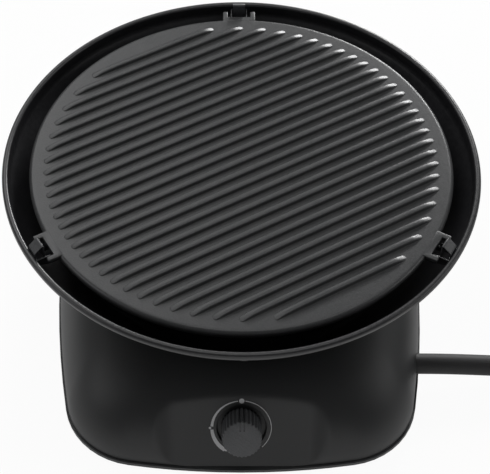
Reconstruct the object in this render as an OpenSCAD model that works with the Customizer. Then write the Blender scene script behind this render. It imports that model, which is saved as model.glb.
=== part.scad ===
// Round tabletop gas grill. A ribbed cast plate hangs on three sheet brackets inside a bowl with a rolled rim.
// The bowl lifts off a rounded-square base that holds the control valve, the burner and the hose nozzle.
// Millimetres. The origin is on the table under the middle of the grill, +Z is up and the knob faces -Y.

/* [Cooking plate] */
// Radius of the plate's edge
plate_r = 173; // [158:1:175]
// Height of the plate's flat margin above the table
plate_z = 165; // [160:1:180]
// Thickness of the plate at its edge
plate_edge = 8.5; // [7:0.5:11]
// Thickness of the plate inside its edge
plate_floor = 5; // [4:0.5:6.5]
// Width of the thick band along the plate's edge
plate_band = 10; // [8:0.5:12]
// Radius of the plate's rounded top edge
plate_round = 3.6; // [0.5:0.1:4]
// Distance from one rib to the next
rib_pitch = 11.5; // [9:0.5:16]
// Width of a rib at its root
rib_w = 5; // [3:0.5:7]
// Width of a rib along its top
rib_top_w = 3.2; // [1.5:0.1:3.4]
// Height of a rib
rib_h = 3; // [1.5:0.5:4]
// Direction of the ribs, turned from the X axis
rib_angle = 30; // [0:1:60]
// Flat margin between the rib ends and the plate's edge
rib_margin = 12; // [8:1:30]

/* [Plate ears] */
// Width of an ear
ear_w = 28.5; // [26:0.5:34]
// How far an ear stands out past the plate's edge
ear_reach = 9; // [8:0.5:11]
// Thickness of an ear
ear_t = 4; // [3:0.5:5]
// Width of the notch in an ear
notch_w = 19.7; // [18:0.1:22]
// Depth of the notch in an ear
notch_depth = 6.5; // [5:0.5:8]

/* [Bowl] */
// Gap between the plate's edge and the bowl's wall
rim_gap = 16.9; // [15:0.1:21]
// Thickness of the bowl's sheet
bowl_wall = 1.2; // [0.8:0.1:2]
// Width of the rolled rim outside the wall's inner face
rim_w = 5.1; // [5:0.1:8]
// Height of the rim's top above the plate's margin
rim_rise = 1; // [0:0.5:3]
// Height of the rolled rim
rim_h = 5; // [4:0.5:8]
// Radius of the rim's inner rounding
rim_inner_round = 2.2; // [1.8:0.1:2.4]
// Radius of the rim's outer rounding
rim_outer_round = 2.5; // [1.8:0.1:2.6]
// Slope of the bowl's conical side, from the horizontal
bowl_slope = 52; // [48:1:60]
// Radius of the bend between the side and the floor
bowl_bend_r = 16; // [10:1:25]
// Height of the upright part of the wall below the plate's margin
bowl_straight = 9.5; // [9:0.5:14]
// Inside radius of the collar round the burner
collar_r = 72.6; // [70:0.1:76]
// Height of the collar above the bowl's floor
collar_h = 13; // [8:1:18]
// Width of the small tab under the front of the rim
tab_w = 4.8; // [3:0.1:8]
// How far that tab hangs below the rim
tab_drop = 1.2; // [0.5:0.1:2]

/* [Plate brackets] */
// Thickness of the brackets' sheet
bracket_t = 1; // [0.8:0.1:1.2]
// Width of a bracket over its two flanges
bracket_w = 14.4; // [13:0.1:16]
// Width of the strap that stands up in front of the rim
strap_w = 10.6; // [8:0.1:11]
// Height of the strap's crest above the plate's margin
strap_rise = 8.4; // [6:0.1:10]
// Height of the strap's lower end above the plate's margin
strap_low = 3.2; // [2:0.1:4]
// Distance of the crest from the bowl's wall
strap_out = 8.6; // [6:0.1:10]
// Depth of the flanges' top edge below the plate's margin
flange_drop = 3.4; // [3:0.1:5]
// How far the ledge that carries the plate reaches under its edge
ledge_reach = 7; // [5:0.5:8]
// Height of that ledge
ledge_h = 5; // [4:0.5:7]
// Clearance between a bracket and the bowl's wall
bracket_gap = 0.3; // [0.2:0.05:0.5]
// Clearance between the flanges and the end of the notch
horn_gap = 0.9; // [0.5:0.1:1.5]
// Distance of the two rivets from the bracket's middle
rivet_y = 3.4; // [3:0.1:4]
// Radius of a rivet's shank
rivet_r = 1.2; // [1:0.05:1.3]
// Radius of a rivet's head
rivet_head_r = 2.3; // [2:0.1:2.5]
// Height of a rivet's head
rivet_head_h = 0.8; // [0.5:0.1:1]

/* [Base] */
// Half of the base's greatest width
base_half_w = 160; // [150:1:170]
// Distance from the bowl's axis to the front of the base
base_front = 196; // [188:1:200]
// Distance from the bowl's axis to the back of the base
base_rear = 150; // [140:1:170]
// Radius of the bulging sides
side_bulge = 900; // [700:10:1500]
// Radius of the bulging front and back
front_bulge = 600; // [500:10:900]
// Distance of the base's widest place behind the bowl's axis
widest_y = 20; // [0:1:30]
// Radius of the base's corners
corner_r = 65; // [50:1:75]
// Height of the base's flat top above the table
base_top = 81; // [78:1:86]
// Radius of the base's flat top
top_r = 105; // [103:1:110]
// Radius of the hole in the base's top
top_hole_r = 80; // [76:1:84]
// Thickness of the shell
shell_wall = 2.5; // [2:0.1:3]

/* [Tray and feet] */
// Height of the tray's underside above the table
tray_z = 5; // [4:0.5:8]
// Thickness of the tray's floor
tray_floor = 2; // [1.5:0.1:2.5]
// Height of the tray's rim
tray_rim_h = 3.5; // [3:0.1:5]
// Width of the tray's rim outside the shell
tray_lip = 1.8; // [1:0.1:3]
// Thickness of the upright edge inside the shell
tray_edge_t = 1.5; // [1:0.1:2]
// Height of that upright edge above the floor
tray_edge_h = 5; // [3:0.5:6]
// Shadow gap between the tray's rim and the shell
shadow_gap = 0.8; // [0.4:0.1:1.2]
// Clearance between the upright edge and the shell
edge_gap = 0.4; // [0.3:0.1:0.8]
// Radius of a foot
foot_r = 13; // [10:0.5:16]
// Radius of a foot's plug in the tray
foot_plug_r = 5; // [3:0.5:6]
// Distance of the feet to the left and right of the middle
foot_x = 100; // [80:1:110]
// Distance of the front feet from the bowl's axis
foot_front_y = 130; // [110:1:140]
// Distance of the rear feet from the bowl's axis
foot_rear_y = 92; // [80:1:105]
// Width of an air slot in the tray
slot_w = 4; // [3:0.5:4.5]
// Length of an air slot in the tray
slot_len = 50; // [30:1:60]
// Number of air slots in each row
slot_count = 6; // [3:1:8]

/* [Control panel] */
// Tilt of the panel's outward direction above the horizontal
panel_tilt = 30; // [25:1:35]
// Height of the pod that carries the panel, above the shell's foot
pod_h = 54; // [50:0.1:60]
// Half width of the pod at its foot
pod_half_w = 76; // [65:1:80]
// Exponent that squares the pod's arch
pod_square = 5; // [3:0.5:8]
// Distance of the knob's axis up the panel from its foot
knob_up = 34.9; // [32:0.1:40]
// How far the flat panel is set back from the front of the shell's foot
panel_step = 1.6; // [1:0.1:2.5]
// How far the pod stands proud of the shell at its foot
pod_proud = 0.5; // [0.3:0.1:1]
// Radius of the recess round the knob
recess_r = 20; // [19:0.5:24]
// Depth of that recess
recess_depth = 4; // [3:0.5:6]

/* [Knob and spindle] */
// Radius of the knob over its ridges
knob_r = 16.4; // [13:0.1:17]
// Height of the knob's face above the panel
knob_face = 21.5; // [18:0.5:25]
// Number of ridges round the knob
ridge_count = 30; // [18:6:42]
// Height of a ridge
ridge_h = 0.7; // [0.4:0.1:1.2]
// Height of the small step round the knob's face
face_step = 0.6; // [0.4:0.1:1]
// Thickness of the knob's wall and top
knob_wall = 2.6; // [2:0.1:3.5]
// Clearance between the knob and the floor of its recess
knob_gap = 0.8; // [0.5:0.1:1.5]
// Radius of the knob's hub
hub_r = 6; // [5:0.1:7]
// Radius of the valve's spindle
spindle_r = 3; // [2.5:0.1:4]
// Depth of the flat on the spindle
spindle_flat = 0.8; // [0.5:0.1:1.2]
// Running clearance round the spindle
spindle_gap = 0.05; // [0.02:0.01:0.08]
// Radius of the hole in the panel that the spindle passes
panel_hole_r = 6; // [5:0.5:8]

/* [Valve] */
// Side of the valve's square body
valve_side = 22; // [18:1:24]
// Length of the valve's body
valve_len = 24.5; // [20:0.5:28]
// Radius of the valve's threaded neck
neck_r = 7; // [5.5:0.1:8]
// Distance of the valve bracket's front face behind the panel's surface
bracket_depth = 12; // [11:0.5:14]
// Thickness of the sheet of the inner brackets
inner_sheet = 1.5; // [1:0.1:2]
// Height of the thin hexagon nuts
nut_h = 3.5; // [2.5:0.1:4]
// Clearance in the holes that necks and screws pass
pass_gap = 0.1; // [0.05:0.05:0.3]
// Radius of the gas pipes
pipe_r = 4; // [3:0.5:4.5]
// Radius of the bosses that the pipes enter
boss_r = 6; // [5:0.5:7]
// Height of the outlet pipe's axis above the table
outlet_z = 24; // [22:0.5:26]
// Side of the piezo igniter's square body
igniter_side = 13; // [10:0.5:14]
// Length of the piezo igniter
igniter_len = 26; // [20:1:28]

/* [Burner] */
// Thickness of the pressed seat
seat_t = 1.5; // [1:0.1:2]
// Height of the seat's bead that the bowl stands on
seat_bead_h = 2.5; // [2.3:0.1:4]
// Width of that bead
seat_bead_w = 6; // [4:0.5:8]
// Inner radius of the seat's ring
seat_ring_r = 58; // [54:1:60]
// Height of the seat's spigot in the bowl's collar
spigot_h = 12; // [8:1:16]
// Clearance between the spigot and the collar
spigot_gap = 0.6; // [0.4:0.1:1]
// Width of the seat's spokes
spoke_w = 16; // [12:1:20]
// Radius of the seat's hub
seat_hub_r = 22; // [18:1:26]
// Radius of the burner
burner_r = 46; // [40:1:48]
// Thickness of the burner's walls
burner_wall = 2.5; // [2:0.1:3]
// Height of the burner's pan
burner_h = 16; // [13:1:20]
// Height of the burner's legs
leg_h = 9.5; // [8:0.5:14]
// Radius of the burner's legs
leg_r = 5; // [4:0.5:6]
// Distance of the legs from the burner's axis
leg_circle = 32; // [28:1:36]
// Outer radius of the burner's mixing neck
mixer_r = 11.5; // [10:0.5:13]
// Wall of the mixing neck and tube
mixer_wall = 1.5; // [1:0.1:2]
// Length of the burner's neck below the seat
neck_drop = 17; // [12:1:22]
// Number of flame ports
port_count = 36; // [24:1:48]
// Radius of a flame port
port_r = 1.2; // [0.8:0.1:1.5]
// Height of the burner cap
cap_h = 3; // [2:0.5:5]
// How far the cap overhangs the burner
cap_over = 2; // [1:0.5:3]
// Clearance where a round part stands round another
ring_gap = 0.3; // [0.2:0.05:0.4]
// Distance of the electrode from the burner's axis
electrode_x = 64; // [62:0.5:66]
// Radius of the electrode's ceramic
electrode_r = 3; // [2.5:0.1:3.5]

/* [Screws] */
// Radius of the screws' shanks
screw_r = 1.9; // [1.5:0.1:2]
// Radius of the screws' heads
screw_head_r = 3.8; // [3:0.1:4]
// Height of the screws' heads
screw_head_h = 2; // [1.5:0.1:2.2]
// Radius of the bosses and lugs that take screws
lug_r = 6.5; // [5.5:0.5:7]

/* [Hose] */
// Outer radius of the hose
hose_r = 8.75; // [7:0.25:8.75]
// Height of the hose's axis where it leaves the nozzle
hose_z = 17; // [17:0.5:19]
// Distance of the hose in front of the bowl's axis
hose_y = 96; // [94:1:104]
// Distance from the bowl's axis to the end of the hose on its nozzle
hose_x = 114; // [110:1:118]
// Radius of the coil's outer turn at the hose's axis
coil_r = 98; // [96:1:104]
// Distance of the coil's axis to the right of the bowl's axis
coil_x = 343; // [338:1:352]
// Clear distance between neighbouring turns
coil_gap = 1; // [0.6:0.1:2]
// Number of turns of the coil
coil_turns = 2; // [2:1:4]
// Radius of the thread at the far end
thread_r = 8.33; // [6:0.01:9]
// Length of that thread
thread_len = 12; // [8:1:16]

/* [Hidden] */

$fn = 96;
small_fn = 32;
eps = 0.01;
edge_draft = 1.5;
far = 400;

bowl_in = plate_r + rim_gap;
bowl_out = bowl_in + bowl_wall;
rim_r = bowl_in + rim_w;
rim_z = plate_z + rim_rise;
plate_under = plate_z - plate_edge;
seat_top = base_top + seat_t;
bowl_z = seat_top + seat_bead_h;
bowl_bend_z = plate_z - bowl_straight;
collar_top = bowl_z + bowl_wall + collar_h;
foot_z = tray_z + tray_rim_h + shadow_gap;
tray_top = tray_z + tray_floor;
lean = 90 - panel_tilt;
panel_front = base_front - tray_lip - panel_step;
knob_y = -panel_front + knob_up * sin(panel_tilt);
knob_z = foot_z + knob_up * cos(panel_tilt);
panel_bulge = front_bulge / cos(panel_tilt);
ear_tip = plate_r + ear_reach;
notch_end = ear_tip - notch_depth;
bracket_angles = [90, 210, 330];
burner_z = seat_top + leg_h;
burner_top = burner_z + burner_h;
neck_z = base_top - neck_drop;
venturi_z = neck_z - 31;
spigot_r = collar_r - spigot_gap;
seat_bead_r = 99;
seat_screw_circle = 92;
valve_back = bracket_depth + inner_sheet + valve_len;
nozzle_x = hose_x - nut_h - 2 * inner_sheet - 3;

// The middle of the grill lies between the back of the rim and the lowest point of the knob's face.
knob_reach = -knob_y + knob_face * cos(panel_tilt) + (knob_r - face_step) * sin(panel_tilt);
axis_y = (knob_reach - rim_r) / 2;

function polar(r, a) = [r * cos(a), r * sin(a)];
function angle_of(p) = atan2(p[1], p[0]);
function mix(a, b, t) = a + (b - a) * t;
function arc(c, r, a, b, n) = [for (i = [0 : n - 1]) c + polar(r, mix(a, b, i / n))];
function mirrored(points) = [for (i = [len(points) - 2 : -1 : 1]) [-points[i][0], points[i][1]]];

// Centre of a circle of radius r that touches two larger circles from inside. side picks one of the two answers.
function touching(c1, r1, c2, r2, r, side) =
    let (d = norm(c2 - c1), u = (c2 - c1) / d)
    let (a = (pow(r1 - r, 2) - pow(r2 - r, 2) + d * d) / (2 * d))
    let (h = sqrt(pow(r1 - r, 2) - a * a))
    c1 + a * u + side * h * [u[1], -u[0]];

side_c = [base_half_w - side_bulge, widest_y];
front_c = [0, front_bulge - base_front];
rear_c = [0, base_rear - front_bulge];
front_corner = touching(side_c, side_bulge, front_c, front_bulge, corner_r, 1);
rear_corner = touching(side_c, side_bulge, rear_c, front_bulge, corner_r, -1);

// Right half of the base's outline, moved inwards by inset, from the middle of the front to the middle of the back.
function half_outline(inset) = concat(
    arc(front_c, front_bulge - inset, -90, angle_of(front_corner - front_c), 5),
    arc(front_corner, corner_r - inset, angle_of(front_corner - front_c), angle_of(front_corner - side_c), 9),
    arc(side_c, side_bulge - inset, angle_of(front_corner - side_c), angle_of(rear_corner - side_c), 8),
    arc(rear_corner, corner_r - inset, angle_of(rear_corner - side_c), angle_of(rear_corner - rear_c), 9),
    arc(rear_c, front_bulge - inset, angle_of(rear_corner - rear_c), 90, 5),
    [rear_c + [0, front_bulge - inset]]);
function outline(inset) = let (half = half_outline(inset)) concat(half, mirrored(half));

// Everything is drawn about the bowl's axis and then moved so that the origin is under the middle of the grill.
module on_axis() {
    translate([0, axis_y, 0]) children();
}

// Local frame of the knob: its axis is Z, Y runs up the panel and the panel's surface is at Z = 0.
module on_panel() {
    translate([0, knob_y, knob_z]) rotate([lean, 0, 0]) children();
}

module ring(r_out, r_in, h) {
    difference() {
        cylinder(r = r_out, h = h);
        translate([0, 0, -eps]) cylinder(r = r_in, h = h + 2 * eps);
    }
}

module hexagon(flats, h) {
    cylinder(r = flats / sqrt(3), h = h, $fn = 6);
}

// A tube along points: one ring of sides points at each, square to the run there.
function unit(v) = v / norm(v);
function run_dir(p, i) = unit(p[min(i + 1, len(p) - 1)] - p[max(i - 1, 0)]);
function ring_at(c, d, r, sides, up) =
    let (u = unit(cross(up, d)), w = cross(d, u))
    [for (k = [0 : sides - 1]) c + r * (cos(360 * k / sides) * u + sin(360 * k / sides) * w)];

module tube(p, r, sides, up = [0, 0, 1]) {
    rings = len(p);
    points = [for (i = [0 : rings - 1]) each ring_at(p[i], run_dir(p, i), r, sides, up)];
    walls = [for (i = [0 : rings - 2], k = [0 : sides - 1])
        let (a = i * sides + k, b = i * sides + (k + 1) % sides)
        each [[a, b + sides, b], [a, a + sides, b + sides]]];
    start = [[for (k = [0 : sides - 1]) k]];
    end = [[for (k = [sides - 1 : -1 : 0]) (rings - 1) * sides + k]];
    polyhedron(points, concat(start, walls, end));
}

// Plate

// A rib with flat sides and rounded ends that ramp down to the plate.
module rib(half_len) {
    core = half_len - rib_w / 2;
    translate([-core, 0, 0]) rotate([90, 0, 90]) linear_extrude(2 * core)
        polygon([[-rib_w / 2, -eps], [rib_w / 2, -eps], [rib_top_w / 2, rib_h], [-rib_top_w / 2, rib_h]]);
    for (side = [-1, 1])
        translate([side * core, 0, 0]) cylinder(r1 = rib_w / 2, r2 = rib_top_w / 2, h = rib_h, $fn = small_fn);
}

module ribs() {
    reach = plate_r - rib_margin;
    last = floor((reach - rib_w) / rib_pitch);
    rotate(rib_angle) for (i = [-last : last])
        translate([0, i * rib_pitch, plate_z]) rib(sqrt(pow(reach, 2) - pow(i * rib_pitch, 2)));
}

module ear() {
    difference() {
        translate([plate_r - plate_band, -ear_w / 2, plate_z - ear_t])
            cube([plate_band + ear_reach, ear_w, ear_t]);
        translate([notch_end, -notch_w / 2, plate_under - 1])
            cube([notch_depth + 1, notch_w, plate_edge + 2]);
    }
}

module grill_plate() {
    color("dimgray") on_axis() {
        rotate_extrude() polygon(concat(
            [[0, plate_z]],
            [for (a = [90 : -22.5 : 0]) [plate_r - plate_round, plate_z - plate_round] + polar(plate_round, a)],
            [[plate_r - edge_draft, plate_under], [plate_r - plate_band, plate_under],
             [plate_r - plate_band - 2, plate_z - plate_floor], [0, plate_z - plate_floor]]));
        for (a = bracket_angles) rotate(a) ear();
        ribs();
    }
}

// Bowl

// From the floor's edge round the bend and up the conical side to the upright wall.
bend_z = bowl_z + bowl_wall + bowl_bend_r;
slope_len = (bowl_bend_z + bowl_bend_r * cos(bowl_slope) - bend_z) / sin(bowl_slope);
bend_x = bowl_in - slope_len * cos(bowl_slope) - bowl_bend_r * sin(bowl_slope);
function bowl_side(wall) = concat(
    [for (t = [0 : 0.125 : 1]) [bend_x, bend_z] + polar(bowl_bend_r + wall, -90 + bowl_slope * t)],
    [[bowl_in + wall, bowl_bend_z - wall * tan(45 - bowl_slope / 2)]]);
function reversed(points) = [for (i = [len(points) - 1 : -1 : 0]) points[i]];

module bowl_section() {
    inner_c = [bowl_in + rim_inner_round, rim_z - rim_inner_round];
    outer_c = [rim_r - rim_outer_round, rim_z - rim_outer_round];
    polygon(concat(
        [[collar_r, bowl_z]],
        [[collar_r, collar_top], [collar_r + bowl_wall, collar_top], [collar_r + bowl_wall, bowl_z + bowl_wall]],
        bowl_side(0),
        arc(inner_c, rim_inner_round, 180, 90, 6),
        arc(outer_c, rim_outer_round, 90, 0, 6),
        [[rim_r, rim_z - rim_outer_round], [rim_r, rim_z - rim_h], [rim_r - bowl_wall, rim_z - rim_h]],
        arc(outer_c, rim_outer_round - bowl_wall, 0, 90, 6),
        arc(inner_c, rim_inner_round - bowl_wall, 90, 180, 6),
        reversed(bowl_side(bowl_wall))));
}

rivet_z = (bowl_bend_z + rim_z - rim_h) / 2;

module at_rivets(r, from, to) {
    for (side = [-1, 1])
        translate([from, side * rivet_y, rivet_z]) rotate([0, 90, 0]) cylinder(r = r, h = to - from, $fn = small_fn);
}

module bowl() {
    color([0.1, 0.1, 0.1]) on_axis() difference() {
        union() {
            rotate_extrude($fn = 180) bowl_section();
            translate([-tab_w / 2, -rim_r + 0.3, rim_z - rim_h - tab_drop])
                cube([tab_w, bowl_wall, tab_drop + 1]);
        }
        for (a = bracket_angles) rotate(a) at_rivets(rivet_r + pass_gap, bowl_in - 2, bowl_out + 2);
    }
}

// Plate brackets

bracket_out = bowl_in - bracket_gap;
bracket_in = bracket_out - bracket_t;
strap_top = plate_z + strap_rise;
strap_foot = plate_z + strap_low;
strap_x = bracket_out - strap_out;
flange_z = plate_z - flange_drop;
flange_x = notch_end + horn_gap;

// Side sheet of a bracket, with the ledge that the plate's edge stands on.
module bracket_flange() {
    ledge_x = plate_r - ledge_reach;
    rotate([90, 0, 0]) linear_extrude(bracket_t) polygon([
        [bracket_in + bracket_t / 2, bowl_bend_z + 0.4], [bracket_in + bracket_t / 2, flange_z],
        [flange_x, flange_z], [flange_x, plate_under], [ledge_x, plate_under],
        [ledge_x, plate_under - ledge_h], [flange_x, plate_under - ledge_h], [bracket_out - 4, bowl_bend_z - 1]]);
}

// Strap in side view: up the wall, over to the crest and down into the notch of the plate's ear.
module strap() {
    low = plate_under + 1;
    rotate([90, 0, 0]) linear_extrude(strap_w, center = true) polygon([
        [bracket_out, bowl_bend_z + 0.4], [bracket_out, strap_foot], [strap_x, strap_top],
        [strap_x, low], [strap_x + bracket_t, low], [strap_x + bracket_t, strap_top - 1.8 * bracket_t],
        [bracket_in, strap_foot - 0.6 * bracket_t], [bracket_in, bowl_bend_z + 0.4]]);
}

// A bracket: back against the wall, two flanges that carry the plate, and the strap.
module bracket() {
    difference() {
        union() {
            translate([bracket_in, -bracket_w / 2, bowl_bend_z + 0.4])
                cube([bracket_t, bracket_w, flange_z - bowl_bend_z - 0.4]);
            strap();
            translate([0, bracket_w / 2, 0]) bracket_flange();
            translate([0, -bracket_w / 2 + bracket_t, 0]) bracket_flange();
        }
        at_rivets(rivet_r + pass_gap, bracket_in - 2, bracket_out + 2);
    }
}

module plate_bracket_back() {
    color("slategray") on_axis() rotate(bracket_angles[0]) bracket();
}

module plate_bracket_left() {
    color("slategray") on_axis() rotate(bracket_angles[1]) bracket();
}

module plate_bracket_right() {
    color("slategray") on_axis() rotate(bracket_angles[2]) bracket();
}

module bracket_rivets() {
    color("gray") on_axis() for (a = bracket_angles) rotate(a) {
        at_rivets(rivet_r, bracket_in - rivet_head_h, bowl_out + pass_gap + rivet_head_h);
        at_rivets(rivet_head_r, bracket_in - rivet_head_h, bracket_in);
        at_rivets(rivet_head_r, bowl_out + pass_gap, bowl_out + pass_gap + rivet_head_h);
    }
}

// Base

// The base's body: its outline at the foot runs in a parabola up to the round top, moved inwards by inset.
body_rings = 9;

function body_ring(inset, s) =
    [for (p = outline(tray_lip + inset))
        let (q = mix(p, (top_r - inset) * p / norm(p), s))
        [q[0], q[1], mix(foot_z, base_top - inset, s * (2 - s))]];

module body_loft(inset, low) {
    foot = low < foot_z ? [for (p = outline(tray_lip + inset)) [p[0], p[1], low]] : [];
    n = len(outline(0));
    rings = body_rings + (low < foot_z ? 2 : 1);
    points = concat(foot, [for (i = [0 : body_rings]) each body_ring(inset, i / body_rings)]);
    walls = [for (i = [0 : rings - 2], k = [0 : n - 1])
        let (a = i * n + k, b = i * n + (k + 1) % n)
        each [[a, b + n, b], [a, a + n, b + n]]];
    bottom = [[for (k = [0 : n - 1]) k]];
    top = [[for (k = [n - 1 : -1 : 0]) (rings - 1) * n + k]];
    polyhedron(points, concat(bottom, walls, top));
}

// The pod that carries the panel: an arched tunnel that ends at a face bulging like the foot's outline.
function pod_arch(inset) =
    [for (i = [-14 : 14])
        let (t = sin(90 * i / 14), x = (pod_half_w - inset) * t)
        [x, foot_z + (pod_h - inset) * (1 - pow(abs(t), pod_square))]];

module panel_side(inset) {
    on_panel() translate([0, 0, panel_step * cos(panel_tilt) + pod_proud - inset - panel_bulge])
        rotate([90, 0, 0]) cylinder(r = panel_bulge, h = far, center = true, $fn = 360);
}

module pod(inset, low) {
    reach = base_front - top_r;
    intersection() {
        translate([0, -top_r, 0]) rotate([90, 0, 0]) linear_extrude(reach) polygon(concat(
            [[pod_half_w - inset, low]], reversed(pod_arch(inset)), [[inset - pod_half_w, low]]));
        panel_side(inset);
    }
}

// The base's body with its pod, cut off in front by the flat panel and moved inwards by inset.
module body(inset, low) {
    intersection() {
        union() {
            body_loft(inset, low);
            pod(inset, low);
        }
        on_panel() translate([-far / 2, -far / 2, -inset - far]) cube(far);
    }
}

lug_in = tray_lip + shell_wall + lug_r + 6;
lugs = [for (c = [front_corner, rear_corner], side = [-1, 1])
    let (d = c[1] < 0 ? -45 : 45, p = c + polar(corner_r - lug_in, d))
    [side * p[0], p[1]]];
lug_h = 16;

module at_lugs() {
    for (p = lugs) translate([p[0], p[1], 0]) children();
}

module at_seat_screws() {
    for (a = [30, 150, 270]) rotate(a) translate([seat_screw_circle, 0, 0]) children();
}

module hose_way(low) {
    translate([hose_x, -hose_y, hose_z]) rotate([0, 90, 0])
        cylinder(r = hose_r + shadow_gap, h = far);
    translate([hose_x, -hose_y - hose_r - shadow_gap, low])
        cube([far, 2 * (hose_r + shadow_gap), hose_z - low]);
}

module base_shell() {
    boss_h = 12;
    color([0.16, 0.16, 0.16]) on_axis() difference() {
        union() {
            difference() {
                body(0, foot_z);
                body(shell_wall, foot_z - 2);
            }
            intersection() {
                at_lugs() translate([0, 0, tray_top]) cylinder(r = lug_r, h = lug_h, $fn = small_fn);
                body_loft(shell_wall / 2, tray_top);
            }
            at_seat_screws() translate([0, 0, base_top - boss_h])
                cylinder(r = lug_r, h = boss_h - shell_wall / 2, $fn = small_fn);
            on_panel() translate([0, 0, -recess_depth - shell_wall])
                cylinder(r = recess_r + shell_wall, h = recess_depth + shell_wall / 2);
        }
        on_panel() translate([0, 0, -recess_depth]) cylinder(r = recess_r, h = far);
        on_panel() translate([0, 0, -recess_depth - 2 * shell_wall])
            cylinder(r = panel_hole_r, h = far, $fn = small_fn);
        translate([0, 0, base_top - 2 * shell_wall]) cylinder(r = top_hole_r, h = far);
        at_lugs() translate([0, 0, tray_top - 1])
            cylinder(r = screw_r + pass_gap / 2, h = lug_h - 1, $fn = small_fn);
        at_seat_screws() translate([0, 0, base_top - boss_h - 1])
            cylinder(r = screw_r + pass_gap / 2, h = boss_h + 2, $fn = small_fn);
        hose_way(foot_z - 3);
    }
}

module at_feet() {
    for (side = [-1, 1], y = [-foot_front_y, foot_rear_y]) translate([side * foot_x, y, 0]) children();
}

module air_slots() {
    for (row = [-1, 1], i = [0 : slot_count - 1])
        translate([row * 45 - slot_len / 2, -60 + i * 20, tray_z - 1]) cube([slot_len, slot_w, tray_floor + 2]);
}

// Upright edge of the tray, which follows the inside of the shell.
module tray_edge() {
    edge_out = shell_wall + edge_gap;
    intersection() {
        difference() {
            body(edge_out, tray_z);
            body(edge_out + tray_edge_t, tray_z - 1);
        }
        translate([-far, -far, tray_z]) cube([2 * far, 2 * far, tray_floor + tray_edge_h]);
    }
}

module base_tray() {
    color([0.08, 0.08, 0.08]) on_axis() difference() {
        union() {
            translate([0, 0, tray_z]) linear_extrude(tray_floor) polygon(outline(0));
            translate([0, 0, tray_z]) linear_extrude(tray_rim_h) difference() {
                polygon(outline(0));
                polygon(outline(tray_edge_t + tray_lip));
            }
            tray_edge();
        }
        at_lugs() {
            translate([0, 0, tray_z - 1]) cylinder(r = screw_r + pass_gap, h = far, $fn = small_fn);
            translate([0, 0, tray_top]) cylinder(r = lug_r + edge_gap, h = far, $fn = small_fn);
        }
        at_feet() translate([0, 0, tray_z - 1]) cylinder(r = foot_plug_r + pass_gap, h = far, $fn = small_fn);
        at_bracket_screws() translate([0, 0, tray_z - 1])
            cylinder(r = screw_r + pass_gap, h = far, $fn = small_fn);
        air_slots();
        hose_way(tray_top);
    }
}

// A pan-head screw with its head's underside at Z = 0 and its shank pointing down.
module screw(shank) {
    translate([0, 0, -shank]) cylinder(r = screw_r, h = shank + eps, $fn = small_fn);
    cylinder(r1 = screw_head_r, r2 = screw_head_r * 0.7, h = screw_head_h, $fn = small_fn);
}

module bottom_screws() {
    color("silver") on_axis() at_lugs() translate([0, 0, tray_z]) rotate([180, 0, 0]) screw(lug_h - 4);
}

module feet() {
    color([0.05, 0.05, 0.05]) on_axis() at_feet() {
        rotate_extrude($fn = small_fn) polygon([[0, 0], [foot_r - 1, 0], [foot_r, 1], [foot_r - 1, tray_z],
            [foot_plug_r, tray_z], [foot_plug_r, tray_top + 2], [foot_plug_r - 1, tray_top + 3], [0, tray_top + 3]]);
    }
}

// Seat of the bowl and the burner

module at_legs() {
    for (a = bracket_angles) rotate(a) translate([leg_circle, 0, 0]) children();
}

module bowl_seat() {
    color("lightslategray") on_axis() difference() {
        translate([0, 0, base_top]) union() {
            ring(seat_bead_r + seat_bead_w / 2 + 1, seat_ring_r, seat_t);
            ring(seat_bead_r + seat_bead_w / 2, seat_bead_r - seat_bead_w / 2, seat_t + seat_bead_h);
            ring(spigot_r, spigot_r - seat_t, seat_t + spigot_h);
            cylinder(r = seat_hub_r, h = seat_t);
            for (a = bracket_angles) rotate(a) translate([0, -spoke_w / 2, 0]) cube([seat_ring_r + 2, spoke_w, seat_t]);
        }
        translate([0, 0, base_top - 1]) cylinder(r = mixer_r + ring_gap, h = 10);
        translate([-electrode_x, 0, base_top - 1]) cylinder(r = electrode_r + pass_gap, h = 10, $fn = small_fn);
        at_legs() translate([0, 0, base_top - 1]) cylinder(r = screw_r + pass_gap, h = 10, $fn = small_fn);
        at_seat_screws() translate([0, 0, base_top - 1]) cylinder(r = screw_r + pass_gap, h = 10, $fn = small_fn);
    }
}

module seat_screws() {
    color("silver") on_axis() at_seat_screws() translate([0, 0, seat_top]) screw(10);
}

module burner_screws() {
    color("silver") on_axis() at_legs() translate([0, 0, base_top]) rotate([180, 0, 0]) screw(seat_t + leg_h - 2);
}

// Shallow pan on three legs with a mixing neck below and a ring of flame ports.
module burner_body() {
    bore_r = mixer_r - mixer_wall;
    port_z = burner_z + burner_h - 5;
    color("gray") on_axis() difference() {
        union() {
            translate([0, 0, neck_z]) cylinder(r = mixer_r, h = burner_z - neck_z + burner_wall);
            translate([0, 0, burner_z]) cylinder(r = burner_r, h = burner_h);
            at_legs() translate([0, 0, seat_top]) cylinder(r = leg_r, h = leg_h + 1, $fn = small_fn);
        }
        translate([0, 0, burner_z + burner_wall]) cylinder(r = burner_r - burner_wall, h = burner_h);
        translate([0, 0, neck_z - 1]) cylinder(r = bore_r, h = far);
        at_legs() translate([0, 0, seat_top - 1]) cylinder(r = screw_r + pass_gap / 2, h = leg_h, $fn = small_fn);
        for (i = [0 : port_count - 1]) rotate(360 * i / port_count)
            translate([burner_r - 2 * burner_wall, 0, port_z]) rotate([0, 90, 0])
                cylinder(r = port_r, h = 4 * burner_wall, $fn = 16);
    }
}

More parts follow.
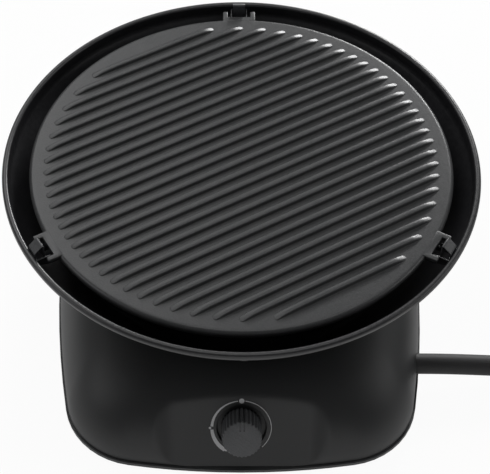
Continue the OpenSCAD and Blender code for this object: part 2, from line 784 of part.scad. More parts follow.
module burner_cap() {
    skirt_r = burner_r - burner_wall - ring_gap;
    color([0.2, 0.2, 0.2]) on_axis() translate([0, 0, burner_top]) rotate_extrude() polygon([
        [0, 0], [skirt_r - 2, 0], [skirt_r - 2, -2], [skirt_r, -2], [skirt_r, 0], [burner_r + cap_over, 0],
        [burner_r + cap_over, cap_h - 1], [burner_r + cap_over - 2, cap_h], [0, cap_h]]);
}

module venturi_tube() {
    r_in = mixer_r + ring_gap;
    r_out = r_in + mixer_wall;
    window = 10;
    color("silver") on_axis() difference() {
        translate([0, 0, venturi_z]) cylinder(r = r_out, h = neck_z + 8 - venturi_z);
        translate([0, 0, venturi_z + mixer_wall]) cylinder(r = r_in, h = far);
        translate([0, 0, venturi_z - 1]) cylinder(r = boss_r + pass_gap, h = 10);
        for (a = [45 : 90 : 315]) rotate(a)
            translate([0, -window / 2, venturi_z + 4]) cube([r_out + 5, window, window]);
    }
}

module injector_holder() {
    color("goldenrod") on_axis() difference() {
        union() {
            translate([0, 0, outlet_z - boss_r - 3]) cylinder(r = boss_r + 3, h = venturi_z - outlet_z + boss_r + 3);
            translate([0, 0, venturi_z - 1]) cylinder(r = boss_r, h = mixer_wall + 3);
            translate([0, 0, outlet_z]) rotate([90, 0, 0]) cylinder(r = boss_r + 1, h = boss_r + 9);
        }
        translate([0, 0, outlet_z]) rotate([90, 0, 0]) cylinder(r = pipe_r + pass_gap, h = far);
        translate([0, 0, outlet_z]) cylinder(r = 3, h = far, $fn = small_fn);
    }
}

module injector() {
    color("gold") on_axis() translate([0, 0, venturi_z + mixer_wall + 2]) difference() {
        union() {
            hexagon(8, 4);
            cylinder(r1 = 3, r2 = 1.6, h = 6, $fn = small_fn);
        }
        translate([0, 0, -1]) cylinder(r = 0.5, h = 10, $fn = 16);
    }
}

module outlet_pipe() {
    start = -knob_y - valve_back * cos(panel_tilt) + 2;
    color("silver") on_axis() translate([0, -boss_r - 3, outlet_z]) rotate([90, 0, 0])
        difference() {
            cylinder(r = pipe_r, h = start - boss_r - 7);
            translate([0, 0, -1]) cylinder(r = pipe_r - 1, h = far);
        }
}

// Valve, knob and igniter

module valve_body() {
    outlet_y = knob_y + valve_back * cos(panel_tilt);
    color("darkkhaki") on_axis() difference() {
        union() {
            on_panel() translate([-valve_side / 2, -valve_side / 2, -valve_back])
                cube([valve_side, valve_side, valve_len]);
            on_panel() translate([0, 0, -bracket_depth - inner_sheet - 1])
                cylinder(r = neck_r, h = inner_sheet + nut_h + 2);
            translate([0, outlet_y - 8, outlet_z]) rotate([-90, 0, 0]) cylinder(r = boss_r, h = 16);
            on_panel() translate([0, 0, -valve_back + valve_len / 2]) rotate([0, 90, 0])
                cylinder(r = boss_r, h = valve_side / 2 + 10);
        }
        on_panel() translate([0, 0, -valve_back + 4]) cylinder(r = spindle_r + spindle_gap, h = far);
        translate([0, outlet_y + 2, outlet_z]) rotate([-90, 0, 0]) cylinder(r = pipe_r + pass_gap, h = far);
        on_panel() translate([valve_side / 2 + 4, 0, -valve_back + valve_len / 2]) rotate([0, 90, 0])
            cylinder(r = pipe_r + 2 * pass_gap, h = far);
    }
}

module d_shaft(r, h, flat_from) {
    difference() {
        cylinder(r = r, h = h);
        translate([-r - 1, r - spindle_flat, flat_from]) cube([2 * r + 2, r, h]);
    }
}

module valve_spindle() {
    low = valve_back - 6;
    hub_start = -recess_depth + knob_gap;
    color("lightgray") on_axis() on_panel() translate([0, 0, -low])
        d_shaft(spindle_r, low + hub_start + 14, low + hub_start);
}

// Outline of the knob: shallow ridges with one at the top and one at the bottom.
function knob_outline(r) =
    [for (i = [0 : 4 * ridge_count - 1])
        let (high = i % 4 == 0 || i % 4 == 1)
        polar(high ? r : r - ridge_h, 90 + 90 * (i - 0.5) / ridge_count)];

module knob() {
    low = -recess_depth + knob_gap;
    pointer_w = 0.7;
    pointer_x = 1.6;
    color([0.3, 0.3, 0.3]) on_axis() on_panel() difference() {
        union() {
            difference() {
                union() {
                    translate([0, 0, low]) linear_extrude(knob_face - face_step - low) polygon(knob_outline(knob_r));
                    translate([0, 0, low]) linear_extrude(knob_face - low) polygon(knob_outline(knob_r - face_step));
                }
                translate([0, 0, low - 1])
                    cylinder(r = knob_r - knob_wall, h = knob_face - knob_wall - low + 1);
            }
            translate([0, 0, low + 1]) cylinder(r = hub_r, h = knob_face - knob_wall - low);
        }
        translate([0, 0, low - 1])
            d_shaft(spindle_r + spindle_gap, 16, 2);
        for (side = [-1, 1]) translate([side * pointer_x - pointer_w / 2, knob_r * 0.45, knob_face - 0.5])
            cube([pointer_w, knob_r, 1]);
    }
}

module knob_clip() {
    color("silver") on_axis() on_panel() translate([0, 0, 2]) difference() {
        ring(hub_r + 0.8, hub_r + pass_gap, 5);
        translate([0, -1, -1]) cube([hub_r + 2, 2, 7]);
    }
}

module valve_nut() {
    color("silver") on_axis() on_panel() translate([0, 0, -bracket_depth]) difference() {
        hexagon(19, nut_h);
        translate([0, 0, -1]) cylinder(r = neck_r + pass_gap / 2, h = nut_h + 2);
    }
}

bracket_half = 34;
foot_flange = 20;
bracket_foot_y = knob_y - (knob_z - tray_top) * tan(panel_tilt) + bracket_depth / cos(panel_tilt);

module valve_bracket() {
    color("lightslategray") on_axis() difference() {
        intersection() {
            union() {
                on_panel() translate([-bracket_half, -60, -bracket_depth - inner_sheet])
                    cube([2 * bracket_half, 60 + valve_side / 2 + 2, inner_sheet]);
                translate([-bracket_half, bracket_foot_y, tray_top])
                    cube([2 * bracket_half, foot_flange, inner_sheet]);
            }
            translate([-far / 2, -far, tray_top]) cube([far, far, far]);
        }
        on_panel() translate([0, 0, -bracket_depth - 5]) cylinder(r = neck_r + pass_gap, h = 10);
        at_bracket_screws() translate([0, 0, tray_top - 1]) cylinder(r = screw_r + pass_gap, h = 5, $fn = small_fn);
    }
}

nozzle_flange = 11;
nozzle_plate_w = 32;

module at_bracket_screws() {
    for (side = [-1, 1]) translate([side * (bracket_half - 6), bracket_foot_y + foot_flange - 6, 0]) children();
    for (side = [-1, 1])
        translate([nozzle_x - 6, -hose_y + side * (nozzle_plate_w / 2 - 5), 0]) children();
}

module bracket_screws() {
    color("silver") on_axis() at_bracket_screws() translate([0, 0, tray_top + inner_sheet])
        screw(tray_floor + inner_sheet);
}

module igniter() {
    side_x = -valve_side / 2 - 2 - igniter_side;
    color([0.25, 0.25, 0.25]) on_axis() on_panel()
        translate([side_x, -igniter_side / 2, -bracket_depth - inner_sheet - igniter_len]) {
            cube([igniter_side, igniter_side, igniter_len]);
            translate([igniter_side / 2, igniter_side / 2, -3]) cylinder(r = 3, h = 4, $fn = small_fn);
        }
}

module electrode() {
    color("ivory") on_axis() translate([-electrode_x, 0, 0]) {
        translate([0, 0, base_top - 10]) cylinder(r = electrode_r, h = 28, $fn = small_fn);
        translate([0, 0, seat_top]) cylinder(r = electrode_r + 1.5, h = 2, $fn = small_fn);
    }
}

electrode_top = base_top + 18;
spark_gap = 4;

module electrode_tip() {
    color("silver") on_axis() translate([-electrode_x, 0, electrode_top]) {
        cylinder(r = 0.8, h = 5, $fn = 16);
        translate([-0.8, 0, 5]) rotate([0, 90, 0])
            cylinder(r = 0.8, h = electrode_x - burner_r - cap_over - spark_gap, $fn = 16);
    }
}

igniter_back = bracket_depth + inner_sheet + igniter_len + 3;
lead_start = [-valve_side / 2 - 2 - igniter_side / 2, knob_y + igniter_back * cos(panel_tilt),
    knob_z - igniter_back * sin(panel_tilt)];
lead_points = concat(
    [lead_start, lead_start + 5 * [0, cos(panel_tilt), -sin(panel_tilt)]],
    [[-22, -121, 11], [-30, -100, 10], [-42, -78, 10], [-52, -56, 14], [-59, -36, 24], [-63, -18, 38],
     [-64, -6, 52]],
    [[-electrode_x, 0, base_top - 17], [-electrode_x, 0, base_top - 10]]);

module electrode_lead() {
    color("firebrick") on_axis() tube(lead_points, 1.6, 8, [1, 0, 0]);
}

// Gas inlet and hose

inlet_start = [valve_side / 2 + 4, knob_y + (valve_back - valve_len / 2) * cos(panel_tilt),
    knob_z - (valve_back - valve_len / 2) * sin(panel_tilt)];
inlet_points = concat(
    [inlet_start, inlet_start + [14, 0, 0]],
    [[50, -152, 26], [61, -145, 23], [70, -134, 20], [78, -120, 17.5]],
    [[nozzle_x - 20, -hose_y - 6, hose_z + 0.4], [nozzle_x - 10, -hose_y, hose_z], [nozzle_x, -hose_y, hose_z]]);

module inlet_pipe() {
    color("silver") on_axis() tube(inlet_points, pipe_r, 12);
}

module along_hose() {
    translate([0, -hose_y, hose_z]) rotate([0, 90, 0]) children();
}

neck_nozzle_r = 5.5;
nozzle_wall_x = nozzle_x + 3;

module nozzle_bracket() {
    color("lightslategray") on_axis() difference() {
        union() {
            translate([nozzle_wall_x, -hose_y - nozzle_plate_w / 2, tray_top])
                cube([inner_sheet, nozzle_plate_w, hose_z + 10 - tray_top]);
            translate([nozzle_wall_x + inner_sheet - nozzle_flange - 5, -hose_y - nozzle_plate_w / 2, tray_top])
                cube([nozzle_flange + 5, nozzle_plate_w, inner_sheet]);
        }
        translate([nozzle_wall_x - 1, 0, 0]) along_hose() cylinder(r = neck_nozzle_r + pass_gap, h = 5);
        at_bracket_screws() translate([0, 0, tray_top - 1]) cylinder(r = screw_r + pass_gap, h = 5, $fn = small_fn);
    }
}

nut_flats = 14;

module hose_nozzle() {
    barb_r = 5;
    color("goldenrod") on_axis() {
        translate([nozzle_x, 0, 0]) along_hose() rotate(90) hexagon(nut_flats, 3);
        translate([nozzle_x, 0, 0]) along_hose() cylinder(r = neck_nozzle_r, h = hose_x - nozzle_x - pass_gap);
        translate([hose_x - 1, 0, 0]) along_hose() cylinder(r = barb_r - 0.5, h = 25);
        for (i = [0 : 2]) translate([hose_x + 4 + 7 * i, 0, 0]) along_hose()
            cylinder(r1 = barb_r, r2 = barb_r - 0.6, h = 5);
    }
}

module nozzle_nut() {
    color("goldenrod") on_axis() translate([nozzle_wall_x + inner_sheet, 0, 0]) along_hose() difference() {
        rotate(90) hexagon(nut_flats, nut_h);
        translate([0, 0, -1]) cylinder(r = neck_nozzle_r + pass_gap / 2, h = nut_h + 2);
    }
}

module hose_clip() {
    band = 9;
    band_in = hose_r + pass_gap;
    color("silver") on_axis() translate([hose_x + 6, 0, 0]) {
        along_hose() ring(band_in + 0.8, band_in, band);
        translate([-0.5, -hose_y - 5, hose_z + hose_r + 0.5]) cube([band + 1, 10, 4.5]);
        translate([band / 2, -hose_y - 9, hose_z + hose_r + 3]) rotate([-90, 0, 0]) {
            cylinder(r = 2, h = 18, $fn = small_fn);
            hexagon(6, 3);
        }
    }
}

// Route of the free hose: off the nozzle, out under the shell's arch and down to the table, then into the coil.
hose_sides = 10;
hose_straight = 38;
hose_flat = 12;
hose_fall = coil_x - 2 * hose_r - hose_flat - hose_x - hose_straight;
hose_points = concat(
    [[hose_x, -hose_y, hose_z], [hose_x + hose_straight / 2, -hose_y, hose_z]],
    [for (t = [0 : 0.125 : 1])
        [hose_x + hose_straight + t * hose_fall, -hose_y, mix(hose_z, hose_r, smooth(t))]],
    [[coil_x - 2 * hose_r, -hose_y, hose_r]]);

module gas_hose() {
    color([0.08, 0.08, 0.08]) on_axis() tube(hose_points, hose_r, hose_sides);
}

// The coil winds in on the table, climbs one layer in the half turn where it turns back, and winds out on top.
coil_steps = 24;
coil_sides = 6;
turn_step = 2 * hose_r + coil_gap;
coil_c = [coil_x, -hose_y + coil_r];
function smooth(t) = let (c = min(max(t, 0), 1)) c * c * (3 - 2 * c);
function coil_point(n) =
    let (in_and_out = n < coil_turns / 2 ? n : coil_turns - n)
    let (r = coil_r - turn_step * in_and_out, q = coil_c + polar(r, 360 * n - 90))
    [q[0], q[1], hose_r + turn_step * smooth(2 * (n - coil_turns / 2) + 0.5)];
coil_end = coil_point(coil_turns);
coil_points = concat(
    [[coil_x - 2 * hose_r, -hose_y, hose_r]],
    [for (i = [0 : coil_steps * coil_turns]) coil_point(i / coil_steps)],
    [[coil_x + 2 * hose_r, coil_end[1], coil_end[2]]]);

// Least distance between the skins of two turns, over all pairs of points at least half a turn apart.
coil_clear = min([for (i = [0 : len(coil_points) - 1], k = [i + coil_steps / 2 : len(coil_points) - 1])
    norm(coil_points[i] - coil_points[k])]) - 2 * hose_r;
echo(coil_least_gap_to_itself = coil_clear);
coil_len = 2 * PI * coil_turns * (coil_r - turn_step * coil_turns / 4);
echo(hose_length = coil_x - hose_x + coil_len + 2 * hose_r);

module hose_coil() {
    color([0.08, 0.08, 0.08]) on_axis() tube(coil_points, hose_r, coil_sides);
}

module hose_end_fitting() {
    ferrule_r = hose_r + 0.6;
    ferrule_len = 20;
    hex_len = 12;
    color("goldenrod") on_axis() translate([coil_x + 2 * hose_r, coil_end[1], coil_end[2]]) rotate([0, 90, 0])
        difference() {
            union() {
                cylinder(r = ferrule_r, h = ferrule_len);
                translate([0, 0, ferrule_len]) cylinder(r = thread_r - 1.5, h = 3);
                translate([0, 0, ferrule_len + 3]) hexagon(19, hex_len);
                translate([0, 0, ferrule_len + 2 + hex_len]) cylinder(r = thread_r, h = thread_len + 1);
            }
            translate([0, 0, ferrule_len]) cylinder(r = 3, h = far, $fn = small_fn);
        }
}

grill_plate();
bowl();
plate_bracket_back();
plate_bracket_left();
plate_bracket_right();
bracket_rivets();
bowl_seat();
seat_screws();
base_shell();
base_tray();
bottom_screws();
feet();
knob();
knob_clip();
valve_spindle();
valve_body();
valve_nut();
valve_bracket();
bracket_screws();
igniter();
electrode();
electrode_tip();
electrode_lead();
outlet_pipe();
injector_holder();
injector();
venturi_tube();
burner_body();
burner_cap();
burner_screws();
inlet_pipe();
nozzle_bracket();
hose_nozzle();
nozzle_nut();
hose_clip();
gas_hose();
hose_coil();
hose_end_fitting();
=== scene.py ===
# %% [markdown]
# # Round tabletop gas grill
# The part comes from its solid model, and this lesson dresses it for a studio picture.
# The solids give every place and size, so each new piece is drawn where the solid one is.
# Lengths are written in millimetres, as on a drawing, and turned to metres where Blender needs them.

# %% Load the solids
from math import atan2, cos, hypot, pi, radians, sin, sqrt, tan

import bpy
import numpy as np
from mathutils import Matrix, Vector


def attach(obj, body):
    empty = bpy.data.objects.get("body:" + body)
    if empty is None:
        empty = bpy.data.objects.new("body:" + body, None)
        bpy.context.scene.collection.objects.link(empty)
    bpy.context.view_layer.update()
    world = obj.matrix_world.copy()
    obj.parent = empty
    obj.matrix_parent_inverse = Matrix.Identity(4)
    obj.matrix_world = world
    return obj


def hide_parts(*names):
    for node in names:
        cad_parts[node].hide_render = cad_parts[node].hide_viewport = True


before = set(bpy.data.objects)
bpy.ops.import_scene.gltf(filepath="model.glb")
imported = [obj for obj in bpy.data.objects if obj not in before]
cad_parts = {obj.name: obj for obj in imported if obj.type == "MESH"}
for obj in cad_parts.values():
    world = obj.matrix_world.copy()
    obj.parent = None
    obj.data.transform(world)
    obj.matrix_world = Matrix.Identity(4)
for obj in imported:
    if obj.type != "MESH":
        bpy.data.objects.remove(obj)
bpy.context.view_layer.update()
print("solid pieces:", len(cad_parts))

# %% [markdown]
# The bowl, the plate and the burner share one upright axis, a little behind the middle of the grill.
# The knob turns about an axis that stands square on the sloping panel.
# Both are written down once here, because nearly every piece is drawn about one of them.
# The panel starts at PANEL_Y on the foot and leans by LEAN, and the knob sits KNOB_UP along its slope.

# %% Places shared by the pieces
MM = 0.001
AXIS_Y = 3.335
PLATE_Z = 165.0
FOOT_Z = 9.3
PANEL_Y = -192.6
LEAN = radians(60)
KNOB_UP = 34.9
KNOB = (0.0, PANEL_Y + KNOB_UP * sin(radians(30)) + AXIS_Y, FOOT_Z + KNOB_UP * cos(radians(30)))
print("knob centre on the panel, mm:", [round(v, 1) for v in KNOB])

# %% [markdown]
# ## Camera
# A product picture like this one is taken from above with a long lens, which keeps the circles calm.
# The lens, the height and the tilt were worked out from the ellipses of the plate and the rim.
# The small sideways shift frames the hose on the right without turning the camera.

# %% Camera
CAMERA = (-22.4, -877.3 + AXIS_Y, 1121.2)
CAMERA_TILT = radians(39.846)
bpy.ops.object.camera_add(location=[v * MM for v in CAMERA], rotation=(CAMERA_TILT, 0, 0))
camera = bpy.context.object
camera.name = "studio_camera"
camera.data.lens = 116.6
camera.data.sensor_width = 36
camera.data.shift_x = 0.0636
bpy.context.scene.camera = camera
print("camera height, mm:", round(camera.location.z / MM))

# %% [markdown]
# ## Gas hose
# A rubber hose of 17.5 mm leaves the base on the right and sinks to the table.
# It lies there in a coil, just outside the picture.
# A curve could carry it, but a ring of points pushed along the route closes its ends.
# It also keeps the hose inside the exact box of the solid one.
# The route is that of the solid hose: a straight start, a soft fall, and two turns, one on the other.

# %% Hose route
HOSE_R = 8.75
HOSE_X, HOSE_Y, HOSE_Z = 114, -96, 17
STRAIGHT, FLAT = 38, 12
COIL_R, COIL_X, LAYER = 98, 343, 18.5
FALL_STEPS, TURN_STEPS = 20, 24


def ease(t):
    t = min(max(t, 0), 1)
    return t * t * (3 - 2 * t)


def coil_point(turn):
    wound_in = turn if turn < 1 else 2 - turn
    radius = COIL_R - LAYER * wound_in
    angle = radians(360 * turn - 90)
    return (COIL_X + radius * cos(angle), HOSE_Y + COIL_R + radius * sin(angle),
            HOSE_R + LAYER * ease(2 * (turn - 1) + 0.5))


fall_start, fall_end = HOSE_X + STRAIGHT, COIL_X - 2 * HOSE_R - FLAT
route = [(HOSE_X + STRAIGHT / 4 * i, HOSE_Y, HOSE_Z) for i in range(4)]
route += [(fall_start + (fall_end - fall_start) * i / FALL_STEPS, HOSE_Y,
           HOSE_Z + (HOSE_R - HOSE_Z) * ease(i / FALL_STEPS)) for i in range(FALL_STEPS + 1)]
route += [(COIL_X - 2 * HOSE_R, HOSE_Y, HOSE_R)]
route += [coil_point(i / TURN_STEPS) for i in range(2 * TURN_STEPS + 1)]
route += [(COIL_X + 2 * HOSE_R, HOSE_Y, HOSE_R + LAYER)]
print("points along the hose:", len(route))

# %% Smooth way of the hose
way = np.array([(x, y + AXIS_Y, z) for x, y, z in route])
fine = [way[0]]
for a, b, c, d in zip(way[:-3], way[1:-2], way[2:-1], way[3:]):
    for t in (0.25, 0.5, 0.75, 1.0):
        fine.append(0.5 * (2 * b + (c - a) * t + (2 * a - 5 * b + 4 * c - d) * t ** 2
                           + (3 * b - a - 3 * c + d) * t ** 3))
fine = np.array([way[0], way[1]] + fine[1:] + [way[-1]])
heading = np.gradient(fine, axis=0)
heading /= np.linalg.norm(heading, axis=1)[:, None]
across = np.cross((0, 0, 1), heading)
across /= np.linalg.norm(across, axis=1)[:, None]
upward = np.cross(heading, across)
print("rings along the hose:", len(fine))


# %% Hose
def ring_skin(name, points, count, capped=False):
    last = len(points) // count - 1
    faces = [(i * count + k, i * count + (k + 1) % count,
              (i + 1) * count + (k + 1) % count, (i + 1) * count + k)
             for i in range(last) for k in range(count)]
    if capped:
        faces += [tuple(range(count))[::-1], tuple(last * count + k for k in range(count))]
    mesh = bpy.data.meshes.new(name)
    mesh.from_pydata([tuple(p) for p in points * MM], [], faces)
    piece = bpy.data.objects.new(name, mesh)
    bpy.context.collection.objects.link(piece)
    return piece


SIDES = 28
around = np.linspace(0, 2 * pi, SIDES, endpoint=False)
skin = (fine[:, None] + HOSE_R * (np.cos(around)[None, :, None] * across[:, None]
                                  + np.sin(around)[None, :, None] * upward[:, None])).reshape(-1, 3)
hose = ring_skin("gas_hose_rubber", skin, SIDES, capped=True)
steps_along = np.concatenate([[0], np.cumsum(np.linalg.norm(np.diff(fine, axis=0), axis=1))]) * MM
unrolled = np.stack([np.repeat(steps_along, SIDES), np.tile(HOSE_R * MM * np.cos(around), len(fine)),
                     np.tile(HOSE_R * MM * np.sin(around), len(fine))], 1)
hose_place = hose.data.attributes.new("hose_place", "FLOAT_VECTOR", "POINT")
hose_place.data.foreach_set("vector", unrolled.astype(np.float32).ravel())
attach(hose, "base")
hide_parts("gas_hose", "hose_coil")
print("hose length, mm:", round(float(steps_along[-1] / MM)))

# %% [markdown]
# ## Colours and nodes
# Screen colours are written as hex values and have to be turned to the linear values that light works with.
# One function does that, and one small function adds a node with its settings and its links.
# The others are built on these two: a ramp of two tones, a range, one value out of two, and a relief.

# %% Helpers for materials
def colour(code, alpha=1.0):
    channels = [int(code[i:i + 2], 16) / 255 for i in (1, 3, 5)]
    return tuple(c / 12.92 if c <= 0.04045 else ((c + 0.055) / 1.055) ** 2.4 for c in channels) + (alpha,)


def add_node(owner, kind, inputs=(), **settings):
    node = owner.node_tree.nodes.new(kind)
    for key, value in settings.items():
        setattr(node, key, value)
    for key, value in dict(inputs).items():
        if isinstance(value, bpy.types.NodeSocket):
            owner.node_tree.links.new(value, node.inputs[key])
        else:
            node.inputs[key].default_value = value
    return node


def new_finish(name):
    material = bpy.data.materials.new(name)
    material.use_nodes = True
    nodes = material.node_tree.nodes
    nodes.clear()
    shader = nodes.new("ShaderNodeBsdfPrincipled")
    output = nodes.new("ShaderNodeOutputMaterial")
    material.node_tree.links.new(shader.outputs[0], output.inputs[0])
    place = nodes.new("ShaderNodeTexCoord")
    return material, shader, place.outputs["Object"]


def link(owner, source, target):
    owner.node_tree.links.new(source, target)


def combine(owner, operation, a, b):
    return add_node(owner, "ShaderNodeMath", {0: a, 1: b}, operation=operation).outputs["Value"]


def two_tones(material, factor, low, high, start=0.35, end=0.65):
    ramp = add_node(material, "ShaderNodeValToRGB", {"Fac": factor})
    ramp.color_ramp.elements[0].position = start
    ramp.color_ramp.elements[0].color = colour(low)
    ramp.color_ramp.elements[1].position = end
    ramp.color_ramp.elements[1].color = colour(high)
    return ramp.outputs["Color"]


def spread(material, factor, low, high):
    node = add_node(material, "ShaderNodeMapRange", {"Value": factor, "To Min": low, "To Max": high})
    return node.outputs["Result"]


def relief(material, shader, factor, strength, depth=0.0001):
    bump = add_node(material, "ShaderNodeBump", {"Height": factor, "Strength": strength, "Distance": depth})
    link(material, bump.outputs["Normal"], shader.inputs["Normal"])


print("white becomes", [round(v, 3) for v in colour("#ffffff")])

# %% [markdown]
# ## Shaping helpers
# Most of this grill is turned or cut from sheet, so two helpers do the first step of nearly every piece.
# The first draws half a section as a chain of edges and spins it about an axis, as on a lathe.
# The second draws an outline, fills it and pulls it up to a thickness, as if cut from sheet.
# Each ends with clean doubles and outward normals, because spinning can turn a skin inside out.

# %% Turn and cut
def deselect():
    if bpy.context.object and bpy.context.object.mode != "OBJECT":
        bpy.ops.object.mode_set(mode="OBJECT")
    bpy.ops.object.select_all(action="DESELECT")


def draw_chain(name, points, closed=False):
    deselect()
    bpy.ops.mesh.primitive_plane_add(size=MM, location=(0, 0, 0))
    piece = bpy.context.object
    piece.name = piece.data.name = name
    bpy.ops.object.mode_set(mode="EDIT")
    bpy.ops.mesh.select_all(action="SELECT")
    bpy.ops.mesh.merge(type="CENTER")
    bpy.ops.transform.translate(value=Vector(points[0]) * MM)
    for a, b in zip(points, points[1:]):
        step = (Vector(b) - Vector(a)) * MM
        bpy.ops.mesh.extrude_vertices_move(TRANSFORM_OT_translate={"value": step})
    bpy.ops.mesh.select_all(action="SELECT")
    if closed:
        bpy.ops.mesh.edge_face_add()
    return piece


def close_up(gap=1e-6):
    bpy.ops.mesh.select_all(action="SELECT")
    bpy.ops.mesh.remove_doubles(threshold=gap)
    bpy.ops.mesh.normals_make_consistent(inside=False)
    bpy.ops.object.mode_set(mode="OBJECT")


def turn(name, section, steps=96):
    piece = draw_chain(name, [(r, 0, z) for r, z in section])
    bpy.ops.mesh.spin(steps=steps, angle=2 * pi, center=(0, 0, 0), axis=(0, 0, 1))
    close_up()
    return piece


def cut_sheet(name, outline, thickness):
    piece = draw_chain(name, [(x, y, 0) for x, y in outline], closed=True)
    bpy.ops.mesh.extrude_region_move(TRANSFORM_OT_translate={"value": (0, 0, thickness * MM)})
    close_up()
    return piece


def finish_piece(piece, *steps):
    deselect()
    piece.select_set(True)
    bpy.context.view_layer.objects.active = piece
    for kind, settings in steps:
        modifier = piece.modifiers.new(kind.lower(), kind)
        for key, value in settings.items():
            setattr(modifier, key, value)
        bpy.ops.object.modifier_apply(modifier=modifier.name)


def settle(piece, move=(0, 0, 0), spin=(0, 0, 0), smooth=40):
    deselect()
    piece.select_set(True)
    bpy.context.view_layer.objects.active = piece
    piece.rotation_euler = spin
    piece.location = Vector(move) * MM
    bpy.ops.object.transform_apply(location=True, rotation=True, scale=True)
    bpy.ops.object.shade_smooth_by_angle(angle=radians(smooth))


def join(name, pieces):
    deselect()
    for piece in pieces:
        piece.select_set(True)
    bpy.context.view_layer.objects.active = pieces[0]
    bpy.ops.object.join()
    pieces[0].name = pieces[0].data.name = name
    return pieces[0]


def copy_piece(piece):
    twin = piece.copy()
    twin.data = piece.data.copy()
    bpy.context.collection.objects.link(twin)
    return twin


def dress(piece, body, slot, material, *nodes):
    piece.data.materials.clear()
    piece.data.materials.append(material)
    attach(piece, body)
    if nodes:
        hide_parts(*nodes)
    faces = len(piece.data.polygons) if piece.type == "MESH" else 0
    print(piece.name, "rides on", body, "with", faces, "faces")


def round_arc(cx, cz, radius, start, end, parts):
    return [(cx + radius * cos(radians(start + (end - start) * i / parts)),
             cz + radius * sin(radians(start + (end - start) * i / parts))) for i in range(parts + 1)]


# %% [markdown]
# ## Cooking plate
# The real plate is cast in aluminium, milled round and sprayed with a dark non-stick coat.
# Its top is flat to a softly rounded edge, so it is turned from one section.
# Three square ears with a notch carry it, and they are cut from sheet and repeated round the plate.

# %% Plate disc
FLAT_RINGS = (0, 40, 80, 120, 150, 160, 168.8)
EDGE_X, EDGE_Z, EDGE_ROUND = 169.4, 161.4, 3.6
disc = turn("plate_disc", [(r, PLATE_Z) for r in FLAT_RINGS]
            + round_arc(EDGE_X, EDGE_Z, EDGE_ROUND, 82, 0, 8)
            + [(171.7, 157.1), (171.2, 156.5), (163, 156.5), (161, 160), (0, 160)], steps=240)
settle(disc, (0, AXIS_Y, 0))
print("plate disc:", [round(v / MM) for v in disc.dimensions])

# %% [markdown]
# The ears lie a few hundredths of a millimetre below the plate's top.
# Two faces in exactly one plane would flicker as black patches.

# %% Ears
EAR_TURNS = (90, 210, 330)
EAR_THICK, EAR_Z = 4, 160.97
EAR_IN, EAR_OUT, EAR_HALF = 167.5, 182, 14.25
NOTCH_IN, NOTCH_HALF = 175.5, 9.85
ear_outline = [(EAR_IN, -EAR_HALF), (EAR_OUT, -EAR_HALF), (EAR_OUT, -NOTCH_HALF), (NOTCH_IN, -NOTCH_HALF),
               (NOTCH_IN, NOTCH_HALF), (EAR_OUT, NOTCH_HALF), (EAR_OUT, EAR_HALF), (EAR_IN, EAR_HALF)]
ear = cut_sheet("plate_ear", ear_outline, EAR_THICK)
finish_piece(ear, ("BEVEL", {"width": 0.7 * MM, "segments": 3, "limit_method": "ANGLE"}))
ears = []
for turned in EAR_TURNS:
    one = copy_piece(ear)
    settle(one, (0, 0, EAR_Z), (0, 0, radians(turned)))
    settle(one, (0, AXIS_Y, 0))
    ears.append(one)
bpy.data.objects.remove(ear)
print("ears:", len(ears))

# %% [markdown]
# ## Ribs
# The ribs are soft bars that rise slowly from the flat margin and run straight across the plate.
# One is drawn as half a section and pulled along its length, and each pull is scaled to its height there.
# Every rib is then a copy of this one, stretched in its middle to the length of its chord.

# %% One rib
RIB_HALF, RIB_ROOT = 30, 0.05
half_section = [(3.7, -RIB_ROOT), (3.1, 0.1), (2.8, 0.5), (2.6, 1.4), (2.42, 2.4), (2.1, 2.92), (1.5, 3.15)]
section = [(-y, z) for y, z in half_section] + [(0, 3.2)] + half_section[::-1]
# Each station is a distance from the rib's end, with the share of its height and of its width there.
stations = [(0.0, 0.02, 0.4), (0.6, 0.1, 0.7), (1.6, 0.2, 0.92), (4.0, 0.43, 1.0), (7.0, 0.68, 1.0),
            (9.0, 0.79, 1.0), (12, 0.87, 1.0), (17, 0.95, 1.0), (25, 1.0, 1.0)]
rib = draw_chain("rib", [(0, y * stations[0][2], (z + RIB_ROOT) * stations[0][1] - RIB_ROOT)
                         for y, z in section])
for (d0, h0, w0), (d1, h1, w1) in zip(stations, stations[1:]):
    bpy.ops.mesh.extrude_edges_move(TRANSFORM_OT_translate={"value": ((d1 - d0) * MM, 0, 0)})
    bpy.ops.transform.resize(value=(1, w1 / w0, h1 / h0), center_override=(0, 0, -RIB_ROOT * MM))
to_middle = RIB_HALF - stations[-1][0]
bpy.ops.mesh.extrude_edges_move(TRANSFORM_OT_translate={"value": (to_middle * MM, 0, 0)})
close_up()
settle(rib, (-RIB_HALF, 0, 0))
finish_piece(rib, ("MIRROR", {"use_axis": (True, False, False), "merge_threshold": 1e-5}))
print("rib faces:", len(rib.data.polygons))

# %% All the ribs
PITCH, REACH = 11.5, 161.0
RIBS_EACH_SIDE, RIB_TURN = 13, radians(30)
ribs = []
for i in range(-RIBS_EACH_SIDE, RIBS_EACH_SIDE + 1):
    half = sqrt(REACH ** 2 - (i * PITCH) ** 2)
    one = copy_piece(rib)
    for point in one.data.vertices:
        side = 1 if point.co.x > 1e-6 else -1 if point.co.x < -1e-6 else 0
        point.co.x += (half - RIB_HALF) * MM * side
    settle(one, (0, i * PITCH, PLATE_Z))
    ribs.append(one)
print("ribs:", len(ribs))
bpy.data.objects.remove(rib)
rib_field = join("rib_field", ribs)
settle(rib_field, (0, 0, 0), (0, 0, RIB_TURN))
settle(rib_field, (0, AXIS_Y, 0), smooth=60)
grill_plate = join("grill_plate_cast", [disc, rib_field] + ears)
print("plate faces:", len(grill_plate.data.polygons))

